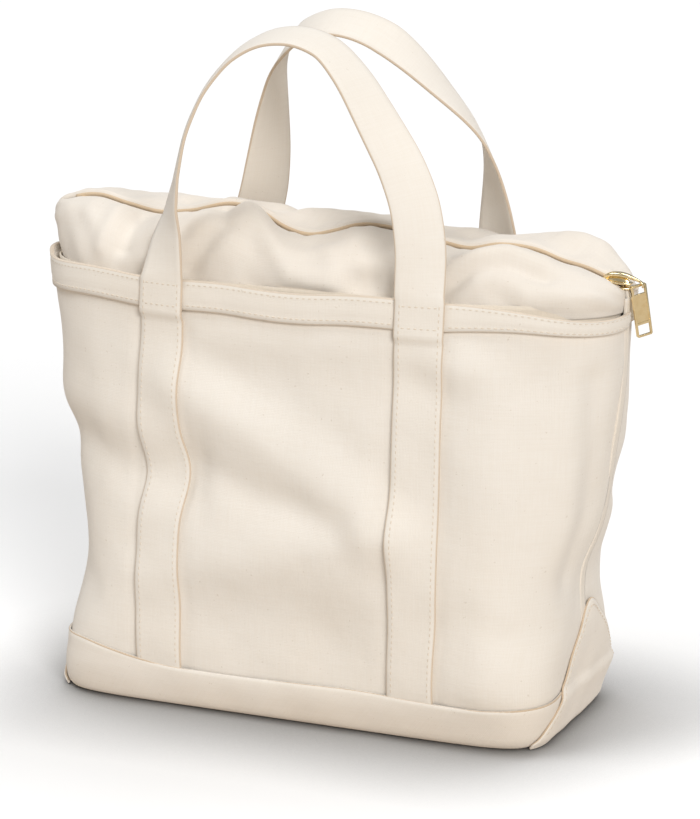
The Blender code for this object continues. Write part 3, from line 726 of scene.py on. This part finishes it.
earPiece("earLeft", -1, "boot_ear_left")
earPiece("earRight", 1, "boot_ear_right")


def bootEdge(side):
    # the boot's raw upper edge
    a = np.linspace(-0.9, 0.9, 400) * halfLength(0.03, side)
    z = bootTop(a) + 0.0002
    out = baseShape["layer"] + 0.0002 + clothFolds(a, z, side) + endPinch(a, z)
    line = wallPoint(a, z, side, out + ripple(a, z, 0.05, 0.0004, 31 + side))
    edgeCord(sideName[side] + "BootEdge", *line, 0.0006)


bootEdge(front)
bootEdge(rear)


def sideSeam(name, hand, node):
    # a narrow felled strip down each side, midway between the folds of both panels
    b, out = closedBand(0.0046, 0.0016, 5)
    z = np.linspace(0.06, 0.285, 90)[:, None]
    ends = [wallOut(hand * (halfLength(z, side) - 0.003), z, side, 0) for side in (front, rear)]
    wander = 0.001 * np.sin(z * 60)
    points, _ = ringPoint(b[None, :] + wander, z, hand, out[None, :] + 0.0012 + 0.5 * (ends[0] + ends[1]))
    bandPiece(name, points, seamCloth, flip=hand < 0, replaces=[node])


sideSeam("sideSeamLeft", -1, "side_seam_left")
sideSeam("sideSeamRight", 1, "side_seam_right")
print("base and seams made")

# straps and handles, each one band from the base over the hand grip and down again
handleShape = {
    # how far up the twist is complete, how much the band bows across, and its other face's first point
    "twistRise": 0.145, "crown": 0.0007, "face": 8,
    # the left leg of the front handle twists early: rise, turn in degrees
    "frontLeft": ((0.0, 0.025, 0.04, 0.06, 0.145), (0.0, 25.0, 48.0, 59.0, 77.0)),
    front: {"topY": 0.0255, "turn": radians(77), "route": (
        (-0.0885, 0.2878), (-0.0885, 0.318), (-0.0872, 0.348), (-0.0842, 0.378), (-0.0736, 0.405),
        (-0.0555, 0.4265), (-0.034, 0.4385), (-0.011, 0.441), (0.01, 0.4345), (0.029, 0.416),
        (0.047, 0.393), (0.066, 0.368), (0.079, 0.344), (0.0865, 0.317), (0.0885, 0.2878))},
    rear: {"topY": 0.0262, "turn": radians(114), "route": (
        (-0.0885, 0.2878), (-0.0835, 0.304), (-0.0755, 0.324), (-0.0688, 0.35), (-0.063, 0.378),
        (-0.055, 0.412), (-0.039, 0.435), (-0.017, 0.4445), (0.005, 0.442), (0.025, 0.434),
        (0.045, 0.418), (0.062, 0.401), (0.076, 0.386), (0.086, 0.371), (0.0895, 0.35),
        (0.0895, 0.32), (0.0885, 0.2878))},
}


def strapCentre(z, hand, side):
    # the left front strap is pushed to the right at the dent beside it
    if side == front and hand < 0:
        return -bagShape["strapX"] + 0.005 * np.exp(-((z - 0.16) / 0.022) ** 2)
    return hand * bagShape["strapX"] + 0 * z


def strapLayer(z, side):
    # flat on the panel, then up over the hem
    low, high = ((0.0026, 0.0052), (0.001, 0.0036))[side]
    return low + (high - low) * ease((z - 0.2595) / 0.0055)


def loopPath(side, footY, count=150):
    # the handle's centre line: smoothed route, leaning in as it rises
    given = handleShape[side]
    route = np.array(given["route"])
    steps = np.concatenate([[0.0], np.cumsum(np.hypot(*np.diff(route, axis=0).T))])
    at = np.linspace(0.0, steps[-1], 264)
    fit = np.column_stack([np.interp(at, steps, route[:, k]) for k in (0, 1)])
    for _ in range(60):
        fit[1:-1] = (fit[:-2] + 2 * fit[1:-1] + fit[2:]) / 4
    s = np.linspace(0, len(fit) - 1, count)
    fit = np.column_stack([np.interp(s, np.arange(len(fit)), fit[:, k]) for k in (0, 1)])
    rise = fit[:, 1] - route[0, 1]
    y = footY + (given["topY"] - footY) * rise / rise.max()
    return np.column_stack([fit[:, 0], sideSign[side] * y, fit[:, 1]]), rise


def strapBand(side):
    # the left leg, the loop and the right leg as one grid; the loop's outward direction turns by
    # cos(turn) * sideways + sin(turn) * away from the curve's middle as it rises
    given, half, face = handleShape[side], bagShape["strapHalf"], handleShape["face"]
    across, out = (v[None, :] for v in closedBand(half, bagShape["strapThick"]))
    z = np.linspace(0.029, 0.2865, 118)[:, None]
    legs = []
    for hand in (-1, 1):
        a = strapCentre(z, hand, side) + across
        legs.append(wallPoint(a, z, side, wallOut(a, z, side, strapLayer(z, side), True) + out))
    (left, _), (right, rightNormal) = legs
    path, rise = loopPath(side, abs(right[-1].mean(0)[1]))
    ahead = np.gradient(path, axis=0)
    ahead[[0, -1], 0] = 0.0
    ahead = unit(ahead)
    start = np.arctan2(*np.abs(rightNormal[-1, face, :2]))
    turn = start + (given["turn"] - start) * np.clip(rise / handleShape["twistRise"], 0, 1)
    if side == front:
        early = np.radians(np.interp(rise, *handleShape["frontLeft"])) * (1 - start / given["turn"])
        turn = np.where(np.arange(len(rise)) < rise.argmax(), start + early, turn)
    normal = (np.cos(turn)[:, None] * np.array((0.0, sideSign[side], 0.0))
              + np.sin(turn)[:, None] * np.cross(ahead, (0.0, 1.0, 0.0)))
    normal = unit(normal - (normal * ahead).sum(1, keepdims=True) * ahead)
    bow = handleShape["crown"] * ease(rise / 0.05)[:, None] * (1 - (across / half) ** 2)
    sway = ripple(path[:, :1], path[:, 2:], 0.11, 0.0007, 51 + side) * ease(rise / 0.04)[:, None]
    # of the two ways round, the one whose edges meet the left leg's
    loops = [path[:, None] + hand * np.cross(ahead, normal)[:, None] * across[..., None]
             + normal[:, None] * (out + bow + sway)[..., None] for hand in (1, -1)]
    loop = max(loops, key=lambda points: (left[-1, 0] - left[-1, face]) @ (points[0, 0] - points[0, face]))
    # down the right leg the band's two edges have changed places
    mirror = np.roll(np.arange(across.size)[::-1], face + 1)
    points = np.concatenate([left, loop[1:-1], right[::-1, mirror]], 0)
    length = np.concatenate([[0], np.cumsum(np.linalg.norm(np.diff(points.mean(1), axis=0), axis=1))])
    name = sideName[side]
    piece = bandPiece(name + "Strap", points, bandCloth, uv=clothMap(across, length[:, None], True),
                      flip=side == front, slot="webbing", body=None,
                      replaces=[name + node for node in ("_strap_left", "_strap_right", "_handle_loop")])
    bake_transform(piece)


strapBand(front)
strapBand(rear)
print("straps and handles made")

# the zipped top: panels, tapes and teeth
topShape = {
    # the closed zip's line: x, z
    "zip": np.array([(-0.21, 0.292), (-0.206, 0.302), (-0.198, 0.315), (-0.187, 0.3205), (-0.169, 0.3235),
                     (-0.146, 0.319), (-0.124, 0.3145), (-0.106, 0.3165), (-0.066, 0.3245), (-0.05, 0.3205),
                     (-0.034, 0.3125), (-0.016, 0.3085), (0.001, 0.312), (0.014, 0.316), (0.043, 0.3168),
                     (0.074, 0.311), (0.095, 0.3085), (0.115, 0.3125), (0.138, 0.3105), (0.155, 0.305),
                     (0.176, 0.301), (0.188, 0.2965), (0.2, 0.29), (0.204, 0.285)]),
    "footZ": 0.276, "edge": 0.0022, "columns": 221, "rows": 44, "left": 0.1985, "right": 0.199,
    # for each side, how far from the middle it stands at its foot
    "foot": (0.0592, 0.0678), "puff": 0.005, "slant": 0.062,
    # the edge is turned under beside the teeth: steps in y and z
    "turned": ((0.0007, -0.0003), (0.001, -0.0012), (0.0004, -0.0022), (-0.0012, -0.0028),
               (-0.004, -0.0026)),
    # the rear tape's cross section: its middle shows as a narrow line behind the front edge
    "rearTape": ((0.0008, 0.0003, 0.0005, 0.003, 0.008, 0.0146),
                 (0.0013, 0.0004, -0.0012, -0.0036, -0.005, -0.0066)),
}
topFolds = (
    # front: (x, share of the way up) lines, width, height
    [([(-0.13, 0.36), (-0.131, 0.85)], 0.0065, -0.0042),
     ([(-0.145, 0.3), (-0.146, 0.9)], 0.006, 0.0024),
     ([(-0.112, 0.25), (-0.11, 0.8)], 0.006, 0.002),
     ([(-0.072, 0.95), (-0.06, 0.55), (-0.078, 0.15)], 0.007, -0.0034),
     ([(-0.056, 0.95), (-0.03, 0.6), (-0.004, 0.22), (0.03, 0.1)], 0.009, 0.0062),
     ([(0.0, 0.72), (0.03, 0.62), (0.052, 0.66)], 0.011, -0.0046),
     ([(0.036, 0.16), (0.048, 0.22)], 0.008, -0.0046),
     ([(0.07, 0.2), (0.088, 0.14)], 0.008, -0.003),
     ([(0.094, 0.16), (0.112, 0.44), (0.134, 0.56), (0.158, 0.5)], 0.006, -0.004),
     ([(0.1, 0.5), (0.124, 0.72), (0.15, 0.72)], 0.008, 0.0036),
     ([(0.15, 0.24), (0.185, 0.3)], 0.009, 0.0034)],
    # rear
    [([(-0.15, 0.2), (-0.12, 0.75)], 0.01, 0.003),
     ([(-0.03, 0.25), (-0.052, 0.85)], 0.01, -0.0034),
     ([(0.02, 0.2), (0.05, 0.8)], 0.011, 0.0034),
     ([(0.11, 0.25), (0.09, 0.8)], 0.008, -0.003)],
)
crest = {"x": (-0.205, -0.195, -0.186, -0.14, -0.068, 0.003, 0.066, 0.12, 0.177, 0.19, 0.2),
         "z": (0.3, 0.312, 0.318, 0.3178, 0.319, 0.3168, 0.3128, 0.312, 0.3105, 0.3, 0.29)}


def zipHeight(x):
    return softCurve(x, *topShape["zip"].T)


def zipSway(x):
    # the closed zip wanders a few millimetres to the front and back
    return 0.0022 * np.sin(x * 46 + 0.6) + 0.0012 * np.sin(x * 97)


def topSection(u, t, side):
    # quarter-round section from the wall (t = 0) to the zip (t = 1), closed to nothing at both ends
    swell = 0.0042 * np.sin(pi * np.clip(t, 0, 1) ** 0.8)
    bend = np.sin(pi / 2 * 0.96 * u) / sin(pi / 2 * 0.96)
    leftEnd = topShape["left"] + swell * 0.5 - 0.009 * ease(1 - t / 0.75)
    x = bend * np.where(u < 0, leftEnd, topShape["right"] + swell * 0.25)
    d, n = bagShape["outline"][-1, 2 + 2 * side:4 + 2 * side]
    full = d * (1 - np.clip(np.abs(bend) * 0.9995, 0, 1) ** n) ** (1 / n)
    reach, footZ = topShape["foot"][side], topShape["footZ"]
    foot = full * reach / (full ** 6 + reach ** 6) ** (1 / 6)
    edge = np.minimum(topShape["edge"], foot)
    y = edge + (foot - edge) * np.cos(pi / 2 * t)
    if side == front:
        z = footZ + (zipHeight(x) - 0.0012 - footZ) * np.sin(pi / 2 * t) ** 0.86
        puff = topShape["puff"] * np.sin(pi * t ** 1.5) * ease((foot - 0.006) / 0.03)
        z = z + puff * (1 - 0.6 * ease((-x - 0.06) / 0.06))
    else:
        # up to the rear crest, then gently down to the zip
        top = softCurve(x, crest["x"], crest["z"])
        rise = footZ + (top - footZ) * np.sin(pi / 2 * np.clip(t / 0.66, 0, 1)) ** 0.8
        z = rise + (zipHeight(x) + 0.0016 - top) * ease((t - 0.6) / 0.4)
    return np.stack([x, sideSign[side] * y + zipSway(x) * ease((t - 0.5) / 0.5), z], -1), x


def mouthWeight(x, t):
    # 1 in the middle of the mouth and 0 at its ends, and 0 at the wall
    eye = 1 - np.clip(np.abs(x - 0.009) / 0.181, 0, 1) ** 3.2
    return np.clip(eye, 0, 1) * ease(t / 0.22)


def setWeight(piece):
    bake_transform(piece)


def topPanel(side):
    # the section's grid pushed out by ripples, folds and small gathers along the zip, then its turned edge
    u = np.linspace(-1, 1, topShape["columns"])[None, :]
    t = np.linspace(0, 1, topShape["rows"])[:, None]
    u, t = np.broadcast_arrays(u, t)
    points, x = topSection(u, t, side)
    amount = ripple(x, t * 0.06, 0.04, 0.0007, 61 + side) + ripple(x, t * 0.06, 0.018, 0.0003, 63 + side)
    for line, width, height in topFolds[side]:
        scaled = [(px, pt * topShape["slant"]) for px, pt in line]
        amount = amount + fold(x, t * topShape["slant"], scaled, width, height)
    amount = amount + 0.0007 * np.sin(x * 420 + 2 * np.sin(x * 60)) * np.exp(-((1 - t) / 0.12) ** 2)
    amount = amount * ease((1 - t) / 0.1) * ease(t / 0.15) * ease((1 - np.abs(u)) / 0.05)
    inward = -sideSign[side]
    points = pushOut(points, amount, inward)
    shut = ease((1 - np.abs(u[0])) / 0.06)
    rows = [points[-1] + np.column_stack([0 * shut, inward * dy * shut, dz * shut])
            for dy, dz in topShape["turned"]]
    weight = mouthWeight(x, t)
    weight = np.concatenate([weight, np.repeat(weight[-1:], len(rows), 0)], 0)
    name = sideName[side]
    # the top panels wear the darker canvas, which is painted shade
    piece = gridPiece(name + "Top", np.concatenate([points, np.stack(rows)], 0), shadedTopCanvas, flip=side == rear,
                      thick=bagShape["canvas"], offset=sideSign[side], body=None,
                      replaces=[name + node for node in ("_top_panel", "_top_end_left", "_top_end_right")])
    setWeight(piece)


def zipTape(side):
    # a strip of tape that lies just under the turned edge
    x = np.linspace(-0.186, 0.188, 160)[None, :]
    w = np.linspace(0, 1, 6)[:, None]
    y, z = -(0.0016 + 0.013 * w), -0.0034 - 0.0035 * w ** 1.5
    if side == rear:
        y, z = (np.array(v)[:, None] for v in topShape["rearTape"])
    points = np.stack(np.broadcast_arrays(x, y + zipSway(x), z + zipHeight(x)), -1)
    piece = gridPiece(sideName[side] + "Tape", points, tapeCloth, thick=0.0007, flip=side == front, body=None,
                      replaces=[sideName[side] + "_zip_tape"], slot="zip_tape")
    setWeight(piece)


toothShape = {
    "pitch": 0.0026, "drop": 0.0036, "wide": 0.00085, "high": 0.00095,
    "ring": np.array([(-1, -0.6), (-0.6, -1), (0.6, -1), (1, -0.6),
                      (1, 0.6), (0.6, 1), (-0.6, 1), (-1, 0.6)]),
    # distances from the middle of the zip, and the share of the full width there
    "depth": np.array([0.0, 0.0009, 0.0022, 0.0028]), "fat": np.array([0.35, 0.6, 1.0, 0.8]),
}


def teethRow(side):
    # one small rounded block per tooth; the two rows stand half a pitch apart
    pitch, ring, fat = toothShape["pitch"], toothShape["ring"], toothShape["fat"][:, None]
    x = np.arange(-0.18, 0.186, pitch) + (pitch / 2 if side == front else 0.0)
    shape = np.stack(np.broadcast_arrays(
        ring[None, :, 0] * fat * toothShape["wide"], sideSign[side] * toothShape["depth"][:, None],
        ring[None, :, 1] * fat * toothShape["high"]), -1)
    centre = np.stack([x, zipSway(x), zipHeight(x) - toothShape["drop"]], -1)
    count = shape[..., 0].size
    shift = np.arange(len(x)) * count
    way = -1 if side == front else 1
    faces = (tubeQuads(*shape.shape[:2])[None, :, ::way] + shift[:, None, None]).reshape(-1, 4).tolist()
    for end in (np.arange(8)[::-way], np.arange(count - 8, count)[::way]):
        faces += (end[None] + shift[:, None]).tolist()
    piece = newPiece(sideName[side] + "Teeth", centre[:, None, None] + shape[None], faces, brass, body=None,
                     replaces=[sideName[side] + "_zip_teeth"], slot="brass")
    setWeight(piece)


for make in (topPanel, zipTape, teethRow):
    make(front)
    make(rear)
print("zipped top made")


def endSeam(name, hand, node):
    # the short seam that closes the top at each end, from the side seam up to the zip
    line, _ = topSection(np.full(30, float(hand)), np.linspace(0, 1, 30), front)
    line[:, 1] = 0
    turn = ringTurn(10)
    ring = np.stack([hand * np.cos(turn), 0.8 * np.sin(turn), 0 * turn], -1) * 0.0021
    bandPiece(name, line[:, None] + ring, seamCloth, flip=hand < 0, replaces=[node])


endSeam("endSeamLeft", -1, "zip_end_gusset_left")
endSeam("endSeamRight", 1, "zip_end_gusset_right")


sewing = {
    # strap rows: distance from the strap's middle, heights of the cross rows and half their length
    "strapEdge": 0.0126, "crossRows": (0.27, 0.2835), "crossHalf": 0.0122,
}


def strapRows(side):
    rows = []
    for hand in (-1, 1):
        z = np.linspace(0.033, 0.2855, 300)
        lines = [(strapCentre(z, hand, side) + edge * sewing["strapEdge"], z) for edge in (-1, 1)]
        across = hand * bagShape["strapX"] + np.linspace(-sewing["crossHalf"], sewing["crossHalf"], 20)
        lines += [(across, np.full(20, height)) for height in sewing["crossRows"]]
        for a, z in lines:
            out = wallOut(a, z, side, strapLayer(z, side) + bagShape["strapThick"] / 2, True)
            rows.append(wallPoint(a, z, side, out))
    return rows


def hemRows(side):
    # two rows along the hem, broken where a strap lies over it
    rows = []
    for height in hemShape["rows"]:
        a = np.linspace(-1, 1, 600) * (halfLength(0.276, side) - 0.006)
        away = np.abs(np.abs(a) - bagShape["strapX"]) > bagShape["strapHalf"] + 0.001
        outWave, upWave = hemWave(a, side)
        z = hemMiddle(a, side) + height * hemTaper(a, side)
        out = wallOut(a, z, side, hemShape["layer"][side]) + hemShape["thick"] / 2 - 0.0004 + outWave
        points, normals = wallPoint(a, z, side, out)
        points[:, 2] += upWave
        cuts = np.flatnonzero(np.diff(away.astype(int))) + 1
        rows += [(points[part], normals[part]) for part in np.split(np.arange(len(a)), cuts) if away[part[0]]]
    return rows


stitches("frontStrapStitches", strapRows(front), slot="webbing")
stitches("rearStrapStitches", strapRows(rear), slot="webbing")
stitches("pocketHemStitches", hemRows(front))
stitches("rearHemStitches", hemRows(rear))
stitches("earStitches", [earRow(-1), earRow(1)])
print("stitches made")

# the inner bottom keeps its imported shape; the metal parts are rounded
bpy.data.objects["bottom_panel"].material_slots[0].material = innerCloth


def roundedCopy(name, node, body, bevel, drop=0.0):
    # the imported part's own shape, its doubles merged, with rounded edges
    mesh = bpy.data.objects[node].data.copy()
    work = bmesh.new()
    work.from_mesh(mesh)
    bmesh.ops.remove_doubles(work, verts=work.verts, dist=0.00001)
    bmesh.ops.dissolve_limit(work, angle_limit=radians(1), verts=work.verts, edges=work.edges)
    bmesh.ops.translate(work, verts=work.verts, vec=(0, 0, -drop))
    work.to_mesh(mesh)
    work.free()
    mesh.materials.clear()
    edge = meshPiece(name, mesh, brass, body, [node], "brass").modifiers.new("Rounded edges", "BEVEL")
    edge.width, edge.segments, edge.limit_method, edge.angle_limit = bevel, 3, "ANGLE", radians(30)
    edge.harden_normals = True


roundedCopy("sliderBody", "slider_body", "slider", 0.00042)
roundedCopy("pullTab", "pull_tab", "pull", 0.00022)
# the stop sits a little lower here, under the turned edges of the closed top
roundedCopy("zipStop", "zip_bottom_stop", "bag", 0.0003, 0.0036)
bridgeShape = {
    # from the tail over the arch to the nose before the pull's crossbar: x, z, half width, half thickness
    "path": np.array([(-0.0086, 0.001, 0.0022, 0.001), (-0.0084, 0.0032, 0.0026, 0.0012),
                      (-0.0066, 0.005, 0.003, 0.0014), (-0.0036, 0.006, 0.0032, 0.0016),
                      (0.001, 0.0062, 0.0033, 0.0016), (0.0056, 0.0056, 0.003, 0.0014),
                      (0.0096, 0.0044, 0.0022, 0.0011), (0.0134, 0.0031, 0.0013, 0.0008),
                      (0.0157, 0.0018, 0.0011, 0.0007), (0.0164, 0.0002, 0.001, 0.0006),
                      (0.016, -0.0014, 0.0009, 0.0005)]),
    # the low spine that fills the arch: x, half width, height over the middle of the body
    "spine": np.array([(-0.008, 0.002, 0.004), (-0.004, 0.0024, 0.0048), (0.001, 0.0024, 0.005),
                       (0.005, 0.002, 0.0042), (0.0074, 0.0012, 0.0028)]),
}


sliderLow, sliderHigh = (np.array(corner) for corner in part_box("slider_body"))
sliderX, sliderY, sliderZ = (sliderLow + sliderHigh) / 2


def spinePiece():
    # a low rounded ridge on the top plate: half width * cos(turn) across, height * sin(turn)^0.7 up
    s, turn, sink = np.linspace(0, 4, 24), ringTurn(20), 0.0012
    x, wide, tall = (softCurve(s, np.arange(5), column)[:, None] for column in bridgeShape["spine"].T)
    lift = np.where(np.sin(turn) > 0, tall * np.abs(np.sin(turn)) ** 0.7, sink * np.sin(turn))
    points = np.stack(np.broadcast_arrays(sliderX + x, sliderY + wide * np.cos(turn),
                                          sliderZ + sink + lift - sink * (lift > 0)), -1)
    bandPiece("sliderSpine", points, brass, body="slider", slot="brass")


def bridgePiece():
    # a rounded bar carried along the arch: width cos(turn), thickness sin(turn), both squared a little
    knots = np.arange(len(bridgeShape["path"]))
    s = np.linspace(0, knots[-1], 70)
    x, z, wide, thick = (softCurve(s, knots, column)[:, None] for column in bridgeShape["path"].T)
    dx, dz = np.gradient(x, axis=0), np.gradient(z, axis=0)
    size, turn = np.hypot(dx, dz), ringTurn(16)
    c, t = (np.sign(v) * np.abs(v) ** 0.75 for v in (np.cos(turn), np.sin(turn)))
    end = np.clip(np.minimum(s - s[0], s[-1] - s) / 0.25, 0.15, 1)[:, None] ** 0.5
    points = np.stack([sliderX + x - dz / size * t * thick * end, sliderY + c * wide * end,
                       sliderZ + z + dx / size * t * thick * end], -1)
    bandPiece("sliderBridge", points, brass, body="slider", replaces=["slider_bridge"], slot="brass")


spinePiece()
bridgePiece()
print("slider made")

stage = {
    # azimuth, elevation, spread in degrees, strength
    "front": (40, 26, 22, 1.88), "left": (300, 62, 26, 0.95), "back": (168, 62, 26, 0.85), "world": 0.31,
    # the floor: what it shows in the open, the painted shadow's colour where it is shut in, how that fades,
    # what it throws back
    "seen": ((0.975, 0.975, 0.975), (0.99, 0.99, 0.99)), "shut": (0.1, 0.1, 0.1), "paintedShadowDepth": 0.105,
    "fade": 1.7, "bounce": (0.6, 0.53, 0.455), "half": 6,
    "azimuth": radians(23.1), "elevation": radians(14.3), "distance": 2.2, "lens": 148.2,
    "target": (0.0118, 0.0, 0.1938),
}


def makeFloor():
    # a painted shadow: darker where ambient occlusion finds the bag shutting it in; it throws back less light
    # than it shows, and a warmer one, so that the folds keep their shade
    material, tree, surface, place = startMaterial("studio floor with painted shadow")
    paintedShadow = addNode(tree, "AmbientOcclusion", {"Distance": stage["paintedShadowDepth"]}, samples=12)
    seen = addMix(tree, addNoise(tree, place["Object"], 2.0, 2.0), *stage["seen"])
    # painted shadow: near the bag the floor's colour goes over to the dark shut-in colour
    seen = addMix(tree, addMath(tree, "POWER", paintedShadow.outputs["AO"], stage["fade"]), stage["shut"], seen)
    toCamera = addNode(tree, "LightPath", {}).outputs["Is Camera Ray"]
    feed(tree, surface, {"Base Color": addMix(tree, toCamera, stage["bounce"], seen), "Roughness": 0.85})
    h = stage["half"]
    corners = [(-h, -h, 0), (h, -h, 0), (h, h, 0), (-h, h, 0)]
    newPiece("studioFloor", corners, [(0, 1, 2, 3)], material, body=None, slot=None)


def direction(azimuth, elevation):
    return Vector((sin(azimuth) * cos(elevation), -cos(azimuth) * cos(elevation), sin(elevation)))


def sunLight(name, azimuth, elevation, spread, strength):
    light = bpy.data.lights.new(name, "SUN")
    light.angle, light.energy = radians(spread), strength
    lamp = bpy.data.objects.new(name, light)
    lamp.rotation_euler = direction(radians(azimuth), radians(elevation)).to_track_quat("Z", "Y").to_euler()
    bpy.context.scene.collection.objects.link(lamp)


makeFloor()
for lamp in ("front", "left", "back"):
    sunLight(lamp + "Light", *stage[lamp])
world = bpy.data.worlds.new("studio")
world.use_nodes = True
feed(world.node_tree, world.node_tree.nodes["Background"], {0: (1.0, 1.0, 1.0), 1: stage["world"]})
bpy.context.scene.world = world

camera = bpy.data.cameras.new("camera")
camera.lens, camera.sensor_width = stage["lens"], 36.0
eye = bpy.data.objects.new("camera", camera)
backward = direction(stage["azimuth"], stage["elevation"])
eye.location = Vector(stage["target"]) + backward * stage["distance"]
eye.rotation_euler = (-backward).to_track_quat("-Z", "Y").to_euler()
bpy.context.scene.collection.objects.link(eye)
bpy.context.scene.camera = eye
bpy.context.scene.view_settings.view_transform = "Standard"
print("stage made")
